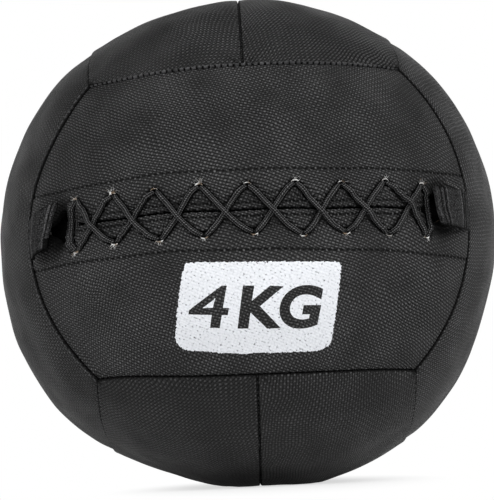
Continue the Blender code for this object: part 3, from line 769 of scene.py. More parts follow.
def cord_distance(along, across):
    """How far a place on the laced cloth is from the nearest run of the cord."""
    nearest = np.ones(len(along))
    steps = np.linspace(0, RUN_STEPS - 1, 45)
    for path in OUTER_PATHS.values():
        run_along, run_across = (np.interp(steps, np.arange(RUN_STEPS), part) for part in path)
        away = np.hypot(along[:, None] - run_along, across[:, None] - run_across).min(1)
        nearest = np.minimum(nearest, away)
    return nearest


def flat_cloth(longitude, latitude):
    """Where a place on a panel lies on the flat cloth that it was cut from."""
    return np.stack([longitude * RADIUS * np.cos(latitude * CLOTH_TAPER), latitude * RADIUS], 1)


def along_grain(name, cloth):
    """Places on the cloth, turned to run with the panel's threads."""
    grain = math.radians(GRAIN_DEGREES[name])
    return cloth @ np.array([[math.cos(grain), math.sin(grain)], [-math.sin(grain), math.cos(grain)]])


def turned_edge(ring, roll, end):
    """Inset and depth of each ring of a turned edge: a quarter circle, then straight down."""
    angle = np.minimum(ring / ROLL_STEPS, 1) * math.pi / 2
    inset = roll * (1 - np.sin(angle))
    depth = np.where(ring > ROLL_STEPS, end, roll * (1 - np.cos(angle)))
    return inset, depth


def panel_surface(name, side, row, centre_inset, edge_inset, side_inset, depth, relief=1.0):
    """Points of a panel, their places on the cloth, and their nearest seam: (distance, run)."""
    along, out, off = PANELS[name]
    laced = name.startswith("front")
    sign = 1 if name.endswith("upper") else -1
    rise = SLIT_RISE * sign if laced else 0
    wander = slit_wander(side * SIDE_SEAM) * sign * (1 - row) if laced else 0
    low = (centre_inset + rise + wander) / RADIUS
    high = FAR_ANGLE - edge_inset / RADIUS
    latitude = low + (high - low) * row
    reach = np.arccos(np.minimum(1, np.cos(SEAM_ANGLE - side_inset / RADIUS) / np.cos(latitude)))
    longitude = reach * side
    local = on_sphere(longitude, latitude)
    direction = local @ np.stack([along, out, off])
    crown = crown_height(local[:, 1], local[:, 2], rise)
    cloth = flat_cloth(longitude, latitude)
    to_far = (FAR_ANGLE - latitude) * RADIUS
    to_side = np.abs(SEAM_ANGLE - np.arccos(np.clip(local[:, 1], -1, 1))) * RADIUS
    to_centre = np.abs(latitude) * RADIUS + (1 if laced else 0)
    nearest = np.minimum(np.minimum(to_far, to_side), to_centre)
    run = np.where(to_side <= nearest, latitude * RADIUS, longitude * RADIUS * np.cos(latitude))
    height = LUMP_HEIGHT * lumps(direction * RADIUS) * ease(nearest / 0.012)
    if name.startswith(("top", "bottom")):
        height += PROUD_RIM * np.exp(-np.maximum(to_far, 0) / 0.009)
    if laced:
        slit = latitude * RADIUS - rise - slit_wander(longitude * RADIUS) * sign
        height = height + closure_relief(longitude * RADIUS, np.maximum(slit, 0), sign)
        height -= FURROW * (1 - ease((cord_distance(longitude * RADIUS, slit * sign) - 0.0010) / 0.0026))
    return point_in_ball(direction, depth - height * relief, crown), cloth, nearest, run


def lay_panel(name):
    laced = name.startswith("front")
    sign = 1 if name.endswith("upper") else -1
    columns, rows = (288, 64) if laced else (132, 42)
    panel = new_grid("cover_" + name, columns, rows)
    with editing(panel):
        bpy.ops.mesh.region_to_loop()
        for _ in range(ROLL_STEPS + 1):
            bpy.ops.mesh.extrude_region_move(TRANSFORM_OT_translate={"value": (0, 0, 1)})
    flat = get_points(panel)
    side, row, ring = flat[:, 0], (flat[:, 1] + 1) / 2, np.round(flat[:, 2])
    inset, depth = turned_edge(ring, EDGE_ROLL, SEAM_DEPTH)
    centre_inset = inset + SEAM_GAP / 2
    if laced:
        row = 0.55 * row + 0.45 * row**2.2
        hem_inset, hem_depth = turned_edge(ring, 0.0013, HEM_TURN)
        at_slit = (flat[:, 1] < -1 + 1e-4) & (np.abs(side) < 1 - 1e-4)
        depth = np.where(at_slit, hem_depth, depth)
        centre_inset = hem_inset + slit_half_gap(side, sign)
    edge_inset = inset + SEAM_GAP / 2
    side_inset = inset + (SIDE_SEAM_GAP if laced else SEAM_GAP) / 2
    points, cloth, nearest, run = panel_surface(name, side, row, centre_inset, edge_inset, side_inset, depth)
    set_points(panel, points)
    set_uv(panel, "cloth", along_grain(name, cloth))
    from_hem, from_lip, slit_along, from_cord = np.ones((4, len(flat)))
    mouth = np.zeros(len(flat))
    if laced:
        slit_along = cloth[:, 0] / np.cos(cloth[:, 1] / RADIUS * CLOTH_TAPER)
        from_slit = cloth[:, 1] - SLIT_RISE * sign - slit_wander(slit_along) * sign
        from_hem = from_slit - hem_distance(slit_along, sign)
        from_lip = from_slit - LIP_DISTANCE
        from_cord = cord_distance(slit_along, from_slit * sign)
        # painted shade inside the gaping mouths at the slit's ends
        mouth = 0.97 * ease(mouth_depth(slit_along, from_slit * sign) / 0.0048)
    set_attributes(
        panel, seam_distance=nearest, seam_run=run, tone=np.full(len(flat), PAINTED_PANEL_SHADES.get(name, 1.0)),
        from_cord=from_cord, mouth=mouth, from_hem=from_hem, from_lip=from_lip, slit_along=slit_along,
    )
    thicken(panel, SKIN)
    return panel


covers = {name: lay_panel(name) for name in PANELS}
print("cover panels:", len(covers), "with", sum(len(p.data.polygons) for p in covers.values()), "faces")

# %% [markdown]
# ## Lace holes
# The holes are simply punched through the cloth, with no metal rings. A punch is a round bar stretched
# sideways, one for each hole, and a Boolean takes the whole row out of a panel at once.

# %% Punch the holes
HOLE_HEIGHT = 0.0044
HOLE_WIDTH = 0.0066


def standing(place, ahead, out):
    """A matrix that moves a thing to a place and turns its x ahead and its z out."""
    return Matrix.Translation(place) @ Matrix((ahead, out.cross(ahead), out)).transposed().to_4x4()


def closure_frame(along, across):
    """Position and axes of the closure at a place: right, up and out."""
    across = across + float(slit_wander(along))
    place, above, right = (
        Vector(closure_point(*spot)[0])
        for spot in ((along, across, 0), (along, across, 0.001), (along + 0.001, across, 0))
    )
    out = (above - place).normalized()
    right = ((right - place) - (right - place).dot(out) * out).normalized()
    return standing(place, right, out)


def punch_holes(panel, side):
    select_only()
    punches = []
    for along, setback in HOLES[side]:
        bpy.ops.mesh.primitive_cylinder_add(vertices=20, radius=HOLE_HEIGHT / 2, depth=0.016)
        punch = bpy.context.object
        points = get_points(punch)
        points[:, 0] += np.sign(np.round(points[:, 0], 6)) * (HOLE_WIDTH - HOLE_HEIGHT) / 2
        set_points(punch, points)
        punch.data.transform(closure_frame(along, side * setback))
        punches.append(punch)
    cut_out(panel, join(punches, "punches"))


punch_holes(covers["front_upper"], 1)
punch_holes(covers["front_lower"], -1)
for name, panel in covers.items():
    finish_piece(panel, cover_vinyl, stands_for=[name + "_panel"])
print("faces of the upper laced panel after punching:", len(covers["front_upper"].data.polygons))

# %% [markdown]
# ## Where the cord and the thread lie
# Everything on the closure sits on the cloth's own relief and not on the smooth ball, or it would float
# over the grooves and sink into the lips. One function adds the relief, and a second turns a run of points
# on the cloth into small frames, each with its own direction along, across and out.

# %% Stand things on the cloth


def skin_lift(along, across):
    """The relief of the laced panels, at distances across from the slit."""
    direction = on_sphere(along / RADIUS, (across + slit_wander(along) + SLIT_RISE) / RADIUS) * (1, -1, 1)
    above, below = (closure_relief(along, np.abs(across), side) for side in (1, -1))
    return LUMP_HEIGHT * lumps(direction * RADIUS) + np.where(across > 0, above, below)


def on_closure(along, across, height):
    """Points over the laced cloth. Across is measured from the wandering slit."""
    along, across, height = (np.array(v, dtype=float) for v in np.broadcast_arrays(along, across, height))
    return closure_point(along, across + slit_wander(along), height + skin_lift(along, across))


def frames_along(points, outs=None):
    """Matrices that lie along a line of points, each facing out of the ball unless told otherwise."""
    made = []
    outs = points - np.array(BALL_CENTRE) if outs is None else outs
    for point, forward, out in zip(points, np.gradient(points, axis=0), outs):
        forward = Vector(forward).normalized()
        out = Vector(out)
        made.append(standing(Vector(point), forward, (out - out.dot(forward) * forward).normalized()))
    return made


def travelled(points):
    """How far along a line each of its points is."""
    return np.concatenate([[0], np.cumsum(np.linalg.norm(np.diff(points, axis=0), axis=1))])


def places_at(points, wanted):
    """Points at the wanted distances along a finely drawn line."""
    so_far = travelled(points)
    return np.stack([np.interp(wanted, so_far, axis) for axis in points.T], 1)


def spread_evenly(points, pitch):
    """Points at an even pitch along a finely drawn line."""
    length = travelled(points)[-1]
    return places_at(points, np.linspace(0, length, max(2, int(round(length / pitch)) + 1)))


# %% [markdown]
# ## Thread
# All the ball's seams are sewn with one strong black thread, about 4 mm a stitch. From a metre away a
# stitch is a small bead of light in a dark line, so each is a real little piece: a six-sided bar with its
# ends drawn in. One stitch is modelled, and copies of it are set along every line and joined into one piece
# a line.

# %% Make the thread's material
thread_black, tree = new_material("thread_black", (0.020, 0.020, 0.021), 0.42)
place = object_place(tree)
strands = add_node(tree, "TexWave", place, 2600.0, 3.0, 2.0, out="Fac", bands_direction="DIAGONAL")
uneven = place.noise(350.0, 2.0)
shade = uneven.ramp((0.3, (0.014, 0.014, 0.015)), (0.70, (0.085, 0.085, 0.088)))
feed_shader(thread_black, shade, strands.bump(0.00006), uneven * 0.3 + 0.28)
print("thread nodes:", len(tree.nodes))

# %% Model one stitch, and sew lines with it


def model_stitch(length, thickness):
    select_only()
    bpy.ops.mesh.primitive_cylinder_add(
        vertices=6, radius=thickness / 2, depth=length * 0.64, rotation=(0, math.pi / 2, 0)
    )
    bpy.ops.object.transform_apply()
    stitch = bpy.context.object
    for face in stitch.data.polygons:
        face.select = abs(face.normal.x) > 0.9
    bpy.ops.object.mode_set(mode="EDIT")
    bpy.ops.mesh.select_mode(type="FACE")
    bpy.ops.mesh.inset(thickness=thickness * 0.27, depth=length * 0.18)
    bpy.ops.object.mode_set(mode="OBJECT")
    return stitch


def sew(name, frames, length, thickness, seed, body="ball"):
    """One piece with a stitch at each frame, no two quite alike."""
    pattern = model_stitch(length, thickness)
    hand = np.random.default_rng(seed)
    copies = []
    for frame_here in frames:
        tilt = Matrix.Rotation(math.radians(hand.normal(0, 4)), 4, "Z")
        stretch = Matrix.Diagonal((*(hand.uniform(least, 1.1) for least in (0.86, 0.9, 0.85)), 1))
        mesh = pattern.data.copy()
        mesh.transform(frame_here @ tilt @ stretch)
        copies.append(add_object(name, mesh))
    bpy.data.objects.remove(pattern)
    piece = join(copies, name)
    finish_piece(piece, thread_black, body)
    return piece


# %% Sew the seams
SEAM_SINK = 0.0021
PROUD_SEAMS = {  # their stitches show beside the seam: how far off it, and how deep
    "front_upper": (0.0008, 0.00055), "left_front": (-0.0018, -0.0003),
}
CORNER_TURN = math.acos(math.cos(SEAM_ANGLE) / math.cos(FAR_ANGLE))


def sew_seam(name, panel, centre, seed):
    """Sews a panel's far seam, or its face's centre seam."""
    turn = SEAM_ANGLE if centre else CORNER_TURN
    aside, sink = (0, SEAM_SINK) if centre else PROUD_SEAMS.get(panel, (0, SEAM_SINK))
    latitude = 0 if centre else FAR_ANGLE + aside / RADIUS
    local = on_sphere(np.linspace(-turn, turn, 400) * 0.985, np.full(400, latitude))
    places = spread_evenly(point_in_ball(local @ np.stack(PANELS[panel]), sink), SEAM_STITCH)
    outs = places - np.array(BALL_CENTRE)
    outs[places[:, 2] < 0.0024] = (0, 0, -1)
    return sew(name, frames_along(places, outs), 0.0026, 0.00080, seed)


seams = [sew_seam("seam_thread_" + name, name, False, seed) for seed, name in enumerate(PANELS)]
for seed, name in enumerate(("back_upper", "top_left", "bottom_left", "left_front", "right_front")):
    seams.append(sew_seam("middle_seam_thread_" + name.split("_")[0], name, True, 40 + seed))
print("seams sewn:", len(seams), "with", sum(len(seam.data.polygons) for seam in seams), "faces")

# %% [markdown]
# ## The hem's stitches
# The cloth beside the slit is folded under and sewn twice: once close to the lip with short stitches, and
# once where the hem ends, 26 mm away, with long ones. The long ones sink into the padded cloth until little
# but their dark needle holes show.

# %% Sew the closure
for side, word in ((1, "above"), (-1, "below")):
    for name, reach, pitch, length, thickness, seed in (
        ("hem", 0.152, HEM_STITCH, 0.0026, 0.00062, 60), ("lip", 0.123, LIP_STITCH, 0.0017, 0.00050, 70)
    ):
        along = np.linspace(-reach, reach, 900)
        distance = hem_distance(along, side) if name == "hem" else LIP_DISTANCE
        line = spread_evenly(on_closure(along, side * distance, -0.00050), pitch)
        sew(f"{name}_thread_{word}", frames_along(line), length, thickness, seed + side)
print("hem stitches run", round(hem_distance(0, 1) * 1000, 1), "mm from the slit")

# %% [markdown]
# ## Facings and tongue
# A raw strip of fleece backs the cloth round the lace holes, and a flap behind the cord keeps the stuffing
# in. They only show as a dull edge inside the holes and the slit, but without them one would look into the
# foam.

# %% Make the facings' and tongue's materials


def woven_material(name, colour, *stops, specular=0.5):
    """A plainly woven cloth."""
    made, tree = new_material(name, colour, 0.9, specular)
    pillows = weave_height(add_node(tree, "UVMap", uv_map="cloth"))
    feed_shader(made, pillows.ramp(*stops), pillows.bump(0.0002))
    return made


facing_fleece, tree = new_material("facing_fleece", (0.008, 0.008, 0.008), 0.95, 0.05)
fluff = object_place(tree).noise(900.0, 6.0)
feed_shader(facing_fleece, fluff.ramp((0.3, 0.003), (0.7, 0.014)), fluff.bump(0.0004))
# painted shade: the tongue is coloured darker than the cover's vinyl, so that the gaping mouths at the slit's
# ends show black
tongue_black = (0.003, 0.003, 0.003)
tongue_cloth = woven_material("tongue_cloth", tongue_black, (0.2, 0.0015), (0.9, 0.0045), specular=0.05)

# %% Lay the facings and the tongue
HEM_SHARE = 0.030 / (FAR_ANGLE * RADIUS)
TONGUE_DEPTH = 0.01277
for word, sign in (("upper", 1), ("lower", -1)):
    facing = new_grid("facing_" + word, 150, 24)
    flat = get_points(facing)
    side, row = flat[:, 0] * 10 / 12, (flat[:, 1] + 1) / 2 * HEM_SHARE
    inset = 0.0022 + slit_half_gap(side, sign)
    points, cloth, _, _ = panel_surface("front_" + word, side, row, inset, 0.00315, 0.00315, 0.0020)
    set_points(facing, points)
    set_uv(facing, "cloth", cloth)
    thicken(facing, 0.0012)
    punch_holes(facing, sign)
    finish_piece(facing, facing_fleece, stands_for=[f"front_{word}_lace_facing"])

tongue = new_grid("tongue", 90, 24)
flat = get_points(tongue)
ripple = 0.0006 * np.sin(flat[:, 0] * 31 + 2 * flat[:, 1]) * (1 - flat[:, 1] ** 2)
cloth = flat[:, :2] * (SIDE_SEAM * 0.965, 0.030)
set_points(tongue, closure_point(cloth[:, 0], cloth[:, 1], -TONGUE_DEPTH - ripple))
set_uv(tongue, "cloth", cloth)
thicken(tongue, 0.0010)
finish_piece(tongue, tongue_cloth, stands_for=["lace_tongue"])
print("facings and tongue laid")

# %% [markdown]
# ## The cord
# The planned runs are now given their heights. A run comes up out of its hole, lies in its furrow, and the
# second pass climbs over the first. Between two crossings the cord passes behind the cloth. Every run is a
# short row of points, and one smooth curve goes through them all.

# %% Draw the cord's route
CORD_REST = CORD / 2 * 0.66
CROSSING_RISE = 0.0032
BEHIND = (0.0062, 0.0103)  # depths of its first and second pass behind the cloth
DIVE = np.array([0, 0.0006, 0.0028])  # how far from its hole the cord has turned inwards


def outer_run(number):
    along, across = OUTER_PATHS[number]
    from_middle = np.linspace(0, 1, RUN_STEPS) - 0.5
    upright = STATIONS[number][0] == STATIONS[number + 1][0]
    so_far = travelled(np.stack([along, across], 1))
    out_of_hole = ease(np.minimum(so_far, so_far[-1] - so_far) / 0.0042)
    height = -0.0012 + (CORD_REST + 0.0012) * out_of_hole
    if not upright:
        over = number > LAST_OF_FIRST_PASS
        height += CROSSING_RISE * hill(from_middle, 0.15) if over else -0.0004 * hill(from_middle, 0.16)
    height += skin_lift(along, across) * (0.25 + 0.75 * out_of_hole)
    width = 0.80 + 0.20 * out_of_hole - 0.07 * hill(from_middle, 0.08) * (not upright)
    return closure_point(along, across + slit_wander(along), height), width


def dive(across, depth, reach):
    """Places across the slit and heights from a hole's underside to the cord's depth behind the cloth."""
    heights = np.array([-0.0030, 0.0014 - depth, -depth, -depth])
    return across - np.sign(across) * np.append(DIVE, reach), heights


def inner_run(start, end, deep):
    (a0, c0), (a1, c1) = slot_place(*start), slot_place(*end)
    (down, heights), (up, _) = (dive(across, BEHIND[deep], 0.010) for across in (c0, c1))
    across = np.concatenate([down, up[::-1]])
    along = np.interp(np.arange(8), (0, 7), (a0, a1))
    widths = np.array([0.76, 0.80, 0.9, 1, 1, 0.9, 0.80, 0.76])
    return closure_point(along, across + slit_wander(along), np.concatenate([heights, heights[::-1]])), widths


def cord_tail(station):
    along, across = slot_place(*station)
    down, heights = dive(across, BEHIND[0], 0.012)
    away = 2 * across - down  # the tail turns outwards
    return closure_point(along, away + slit_wander(along), heights), np.array([0.76, 0.8, 0.95, 1])


def draw_cord():
    points, widths = cord_tail(STATIONS[0])
    route, thickness = [points[::-1]], [widths[::-1]]
    for number, (start, end) in enumerate(zip(STATIONS, STATIONS[1:])):
        if number % 2:
            deep = LAST_OF_FIRST_PASS + 1 < number != len(STATIONS) - 3
            points, widths = inner_run(start, end, deep)
        else:
            points, widths = outer_run(number)
        route.append(points)
        thickness.append(widths)
    points, widths = cord_tail(STATIONS[-1])
    return np.concatenate(route + [points]), np.concatenate(thickness + [widths])


def smooth_line(points, widths, pitch):
    """A Catmull-Rom curve through the points, at an even pitch."""
    padded = np.vstack([2 * points[0] - points[1], points, 2 * points[-1] - points[-2]])
    fine, fine_widths = [], []
    for number in range(len(points) - 1):
        p0, p1, p2, p3 = padded[number : number + 4]
        for t in np.linspace(0, 1, 8, endpoint=False):
            fine.append(
                0.5 * (2 * p1 + (p2 - p0) * t + (2 * p0 - 5 * p1 + 4 * p2 - p3) * t**2
                       + (3 * p1 - p0 - 3 * p2 + p3) * t**3)
            )
            fine_widths.append(widths[number] * (1 - t) + widths[number + 1] * t)
    fine, fine_widths = np.array(fine + [points[-1]]), np.array(fine_widths + [widths[-1]])
    so_far = travelled(fine)
    wanted = np.linspace(0, so_far[-1], int(so_far[-1] / pitch) + 1)
    return places_at(fine, wanted), np.interp(wanted, so_far, fine_widths), so_far[-1]


cord_line, cord_widths, cord_length = smooth_line(*draw_cord(), 0.0009)
print("the cord is", round(cord_length, 3), "m long, drawn with", len(cord_line), "points")

# %% [markdown]
# ## The braid
# A curve with a round bevel makes the tube. Its mesh gets a UV map in metres, one way along the cord and
# the other round it, and the braid is drawn on that: six columns of slanting strands, each column slanting
# the other way, as on any braided lace. A groove between the columns and another between the strands give
# the little glints that show the cord is textile, through their bump and through the colour, which paints a
# highlight on each strand's top and shade in the grooves.

# %% Make the cord's material
BRAID_COLUMNS = 6
BRAID_PITCH = 0.00135
cord_braid, tree = new_material("cord_braid", (0.018, 0.018, 0.019), 0.5, 0.25)
down, around, _ = add_node(tree, "UVMap", uv_map="cord").split()
columns = around * (BRAID_COLUMNS / (math.pi * CORD))
slant = columns.maths("PINGPONG", 1.0) * 0.85
height = abs((down * (1 / BRAID_PITCH) + slant).sine(2)) ** 0.9 * abs(columns.sine(2)) ** 1.1
fuzz = object_place(tree).noise(1800.0, 3.0)
# painted light: the ramp paints a highlight on each strand's top and shade in the grooves between strands and
# columns
shade = (fuzz * 0.2 + height * 0.85).ramp(
    (0.25, (0.0004, 0.0004, 0.0004)), (0.58, (0.020, 0.020, 0.0205)), (0.92, (0.200, 0.200, 0.204))
)
feed_shader(cord_braid, shade, fuzz.bump(0.00006, height.bump(0.00060)), height * -0.25 + 0.60)

# %% Make the cord


def add_spline(curve, points):
    """A spline of straight steps through flat or solid points."""
    spline = curve.splines.new("POLY")
    spline.points.add(len(points) - 1)
    placed = np.zeros((len(points), 4))
    placed[:, : points.shape[1]] = points
    placed[:, 3] = 1
    spline.points.foreach_set("co", placed.ravel())
    return spline


def tube_along(name, runs, thickness, roundness=4):
    """A mesh tube along one or more lines of points, each with its own widths."""
    curve = bpy.data.curves.new(name, "CURVE")
    curve.dimensions = "3D"
    curve.bevel_depth = thickness / 2
    curve.bevel_resolution = roundness
    curve.use_fill_caps = True
    for points, widths in runs:
        add_spline(curve, points).points.foreach_set("radius", widths)
    select_only(add_object(name, curve))
    bpy.ops.object.convert(target="MESH")
    return bpy.context.object


def set_cord_uv(piece, points, thickness):
    """Metres along the cord and metres round it, for a tube whose rings follow one another."""
    sides = round(len(piece.data.vertices) / len(points))
    corners = read_numbers(piece.data.loops, "vertex_index")
    faces = piece.data.polygons
    step = (corners % sides).astype(float)
    for start, size in zip(read_numbers(faces, "loop_start"), read_numbers(faces, "loop_total")):
        here = step[start : start + size]
        if size == 4 and here.max() - here.min() > sides / 2:
            here[here < sides / 2] += sides
    down = travelled(points)[np.minimum(corners // sides, len(points) - 1)]
    set_corner_uv(piece, "cord", np.stack([down, step / sides * math.pi * thickness], 1))


lace = tube_along("laced_cord", [(cord_line, cord_widths)], CORD)
set_cord_uv(lace, cord_line, CORD)
finish_piece(lace, cord_braid, stands_for=["lace"], smooth=70)
print("the cord has", len(lace.data.polygons), "faces")

# %% [markdown]
# ## Frayed holes
# Under its vinyl skin the cloth is pale, and each punched hole shows that: a chewed, whitish rim on the
# side that the cord pulls away from, with a few loose fibres. The rim is a thin tube of uneven width round
# the outer half of the hole, and the fibres are finer tubes that start on it.

# %% Fray the holes
FRAY_RIM = 0.00062
FRAYED = (  # how far gone each hole is, above and below
    (1.3, 1.7, 0.6, 1.4, 0.6, 1.1, 0.7, 0.8, 1.2), (1.3, 1.3, 1.1, 0.9, 0.8, 0.8, 0.9, 0.5, 1.0),
)
LOOSE_FIBRES = (  # millimetres along the slit, across it and off the cloth
    ((126, -9.0, 2), (129, -7.0, 5), (133.5, -7.6, 8)), ((131, 16.8, 9), (141, 15.4, 7), (152, 13.6, 4)),
)
cloth_fray, tree = new_material("cloth_fray", (0.30, 0.29, 0.27), 0.85)
place = object_place(tree)
shade = place.noise(260.0, 2.0).ramp(
    (0.30, (0.040, 0.036, 0.032)), (0.40, (0.24, 0.17, 0.11)), (0.48, (0.45, 0.44, 0.43)),
    (0.58, (0.84, 0.84, 0.83)),
)
feed_shader(cloth_fray, shade, place.noise(2500.0, 3.0).bump(0.0001))

hand = np.random.default_rng(11)
rims, fibres = [], []
reach = HOLE_HEIGHT / 2 + 0.00005
steps = np.linspace(0, 1, 5)
for side, frayed in zip((1, -1), FRAYED):
    for (along, setback), amount in zip(HOLES[side], frayed):
        across = side * setback
        angle = np.linspace(0.18 * math.pi, 0.82 * math.pi, 12) + hand.uniform(-0.5, 0.5) * 0.3
        rim_along = along + np.cos(angle) * (reach + 0.0006)
        rim_across = across + side * np.sin(angle) * reach
        lifted = on_closure(rim_along, rim_across, hand.uniform(-0.0002, 0.0002, 12))
        widths = hand.uniform(0.5, 1.1, 12) * np.sin(np.linspace(0.12, math.pi - 0.12, 12)) ** 0.6
        rims.append((lifted, widths * amount * 0.85))
        for _ in range(round(7 * amount)):
            start = hand.uniform(0.2, 0.8) * math.pi
            ahead, aside = math.cos(start), side * math.sin(start)
            length = hand.uniform(0.0008, 0.0026) * amount
            out = reach + length * steps
            curl = length * hand.uniform(-0.9, 0.9) * steps**2
            rise = 0.0001 + hand.uniform(0, 0.0011) * steps * (1.6 - steps)
            line = on_closure(along + ahead * out - aside * curl, across + aside * out + ahead * curl, rise)
            fibres.append((line, np.linspace(1, 0.5, 5)))
for loose in LOOSE_FIBRES:
    fibres.append((closure_point(*np.array(loose).T / 1000), np.full(3, 0.45)))
finish_piece(tube_along("hole_fray_rims", rims, 2 * FRAY_RIM, 1), cloth_fray)
finish_piece(tube_along("hole_fray_fibres", fibres, 0.00020, 0), cloth_fray)
print("frayed", len(rims), "holes with", len(fibres), "fibres")

# %% [markdown]
# ## End tabs
# At each end of the slit a doubled strap of black webbing is caught in the side seam, as a finger pull that
# covers the slit's end. It comes out of the seam flat, rises, and stands off the cloth with its fold as a
# soft nose. Each tab leans its own way, so it is drawn between four corners: two in the seam and two at the
# fold. A flat grid's rows follow the strap out, round the nose and back, and its columns cross the strap.

# %% Make the webbing's material
strap_webbing, tree = new_material("strap_webbing", (0.010, 0.010, 0.011), 0.42, 0.07)
down, across, _ = add_node(tree, "UVMap", uv_map="strap").split()
place = object_place(tree)
wobble = place.noise(420.0, 2.0)
rib = (wobble * 1.6 + down * (2 * math.pi / 0.0019)).sine() * 0.5 + 0.5
thread = (down * 2600.0 + across * (2 * math.pi / 0.0009)).sine() * 0.5 + 0.5
speck = place.noise(1000.0, 1.0) - 0.5
grosgrain = speck * 1.5 + (thread * 0.30 + rib * 0.18)
pressed = attribute(tree, "tacked") * place.noise(700.0, 2.0).remap(0.38, 0.60, 0.0, 0.9, "LINEAR")
# painted light: the crease numbers paint highlights on the ridges by the nose and a bright line where the
# tacked zone ends, and shade in the creases, along the strap's edges and inside the nose
ribs_and_painted_light = attribute(tree, "crease") * 0.55 + (grosgrain - pressed)
shade = ribs_and_painted_light.ramp(
    (0.0, (0.0006, 0.0006, 0.0006)), (0.5, (0.044, 0.044, 0.045)), (1.0, (0.150, 0.150, 0.153))
)
feed_shader(strap_webbing, shade, grosgrain.bump(0.00034), wobble * 0.3 + 0.34)

# %% Fold the tabs
LOOP_HALF = 0.0014
LAYER_HALF = 0.00068
STRAP = 0.0010
LAYER_ROWS = 64
NOSE_ROWS = 12
TABS = {  # root and fold, from the lower to the upper edge, and how far the strap arches between them
    "left": (
        ((-159.6, -16.6, 2.2), (-160.2, 9.6, 2.3)),
        ((-138.2, -12.0, 8.2), (-138.0, -5.0, 7.8), (-129.8, 17.0, 7.9)), 0.0034,
    ),
    "right": (((163.4, -10.0, 0.9), (164.2, 15.6, 0.9)), ((128.6, -8.9, 6.8), (122.8, 15.2, 7.0)), 0.0016),
}
RIDGES = {  # how far down the strap, and how high or deep a crease it is, both in relief and as painted light and shade
    "left": ((0.925, 1.0), (0.978, -1.2)),
    "right": ((0.80, 0.5), (0.845, -1.0), (0.895, 0.4), (0.945, -1.0), (0.99, 0.25)),
}


def tab_middle(word, share, width_share):
    """Points halfway between a tab's two layers."""
    root, fold, hump = TABS[word]
    root, fold = np.array(root) / 1000, np.array(fold) / 1000
    start = root[0] + (root[1] - root[0]) * width_share[:, None]
    bends = (0, 1) if len(fold) == 2 else (0, 0.27, 1)
    end = np.stack([np.interp(width_share, bends, fold[:, axis]) for axis in range(3)], 1)
    place = start + (end - start) * share[:, None]
    rise = start[:, 2] + (end[:, 2] - start[:, 2]) * share**1.1
    height = rise + hump * np.sin(math.pi * share**0.75) * (1 - 0.25 * np.cos(width_share * 5))
    return closure_point(place[:, 0], place[:, 1] - SLIT_RISE, height)


def fold_tab(word, seed):
    rows = 2 * LAYER_ROWS + NOSE_ROWS
    tab = new_grid("pull_tab_" + word, 30, rows)
    flat = get_points(tab)
    width_share = (flat[:, 0] + 1) / 2
    step = np.round((flat[:, 1] + 1) / 2 * rows)
    outer, inner = step <= LAYER_ROWS, step >= LAYER_ROWS + NOSE_ROWS
    share = np.where(outer, step / LAYER_ROWS, np.where(inner, (rows - step) / LAYER_ROWS, 1.0))
    middle, before, after = (
        tab_middle(word, np.clip(share + shift, 0, 1), width_share) for shift in (0, -0.03, 0.03)
    )
    ahead = unit(after - before)
    out = middle - np.array(BALL_CENTRE)
    out = unit(out - (out * ahead).sum(1)[:, None] * ahead)
    half = LAYER_HALF + (LOOP_HALF - LAYER_HALF) * ease((share - 0.35) / 0.6)
    turn = np.clip((step - LAYER_ROWS) / NOSE_ROWS, 0, 1) * math.pi
    # the creases press real relief into the outer layer, and the same numbers paint light and shade into the
    # colour
    crease = sum(depth * hill(share - at, 0.018) for at, depth in RIDGES[word]) * outer
    # painted shade along the strap's two edges, also pressed a little into the relief
    crease -= 1.2 * hill(width_share, 0.03) + 0.8 * hill(width_share - 1, 0.03)
    # painted shade on the back of the nose and the whole inner layer, which face the cloth; a faint painted
    # highlight on the front of the nose
    crease += np.where(turn > 0.62 * math.pi, -1.2, 0.10 * (step > LAYER_ROWS))
    if word == "left":
        crease -= 1.2 * (step > LAYER_ROWS) * ease((0.27 - width_share) / 0.03)  # painted shade in the loop's open end
    pressed = 0.00035 * crease * outer - 0.00028 * (1 - ease((share - 0.30) / 0.05)) * outer
    phases = np.random.default_rng(seed).uniform(0, 6, 3)
    soft = 0.00022 * np.sin(width_share * 7 + phases[0] + share * 5)
    soft += 0.00012 * np.sin(share * 23 + phases[1])
    off = half * np.cos(turn) + pressed + soft * ease(share / 0.3)
    points = middle + off[:, None] * out + (half * np.sin(turn))[:, None] * ahead
    set_points(tab, points)
    down_strap = travelled(points.reshape(rows + 1, 31, 3)[:, 15])
    set_uv(tab, "strap", np.stack([down_strap[step.astype(int)], (width_share - 0.5) * 0.025], 1))
    # painted highlight: a bright line where the tacked zone ends
    set_attributes(
        tab, crease=crease + 0.7 * hill(share - 0.37, 0.018) * outer,
        tacked=(1 - ease((share - 0.30) / 0.04)) * outer,
    )
    outer_faces = tab.data.polygons[: 30 * LAYER_ROWS]
    if sum(face.normal.dot(face.center - BALL_CENTRE) for face in outer_faces) < 0:
        tab.data.flip_normals()
    apply_modifier(tab, "SOLIDIFY", thickness=STRAP, offset=0)
    apply_modifier(tab, "BEVEL", width=0.00025, segments=2, angle_limit=math.radians(50))
    finish_piece(tab, strap_webbing, word + "_tab", [word + "_end_tab"])
    return tab


tabs = [fold_tab("left", 5), fold_tab("right", 6)]
print("tabs folded, with", [len(tab.data.polygons) for tab in tabs], "faces")

# %% Tack the tabs down
for word in TABS:
    frames = []
    for share in (0.05, 0.16, 0.28):
        line = tab_middle(word, np.full(13, share), np.linspace(0.06, 0.94, 13))
        outs = line - np.array(BALL_CENTRE)
        frames += frames_along(line + unit(outs) * (LAYER_HALF + STRAP * 0.28), outs)
    sew(word + "_tab_tack", frames, 0.0016, 0.00050, 80, word + "_tab")

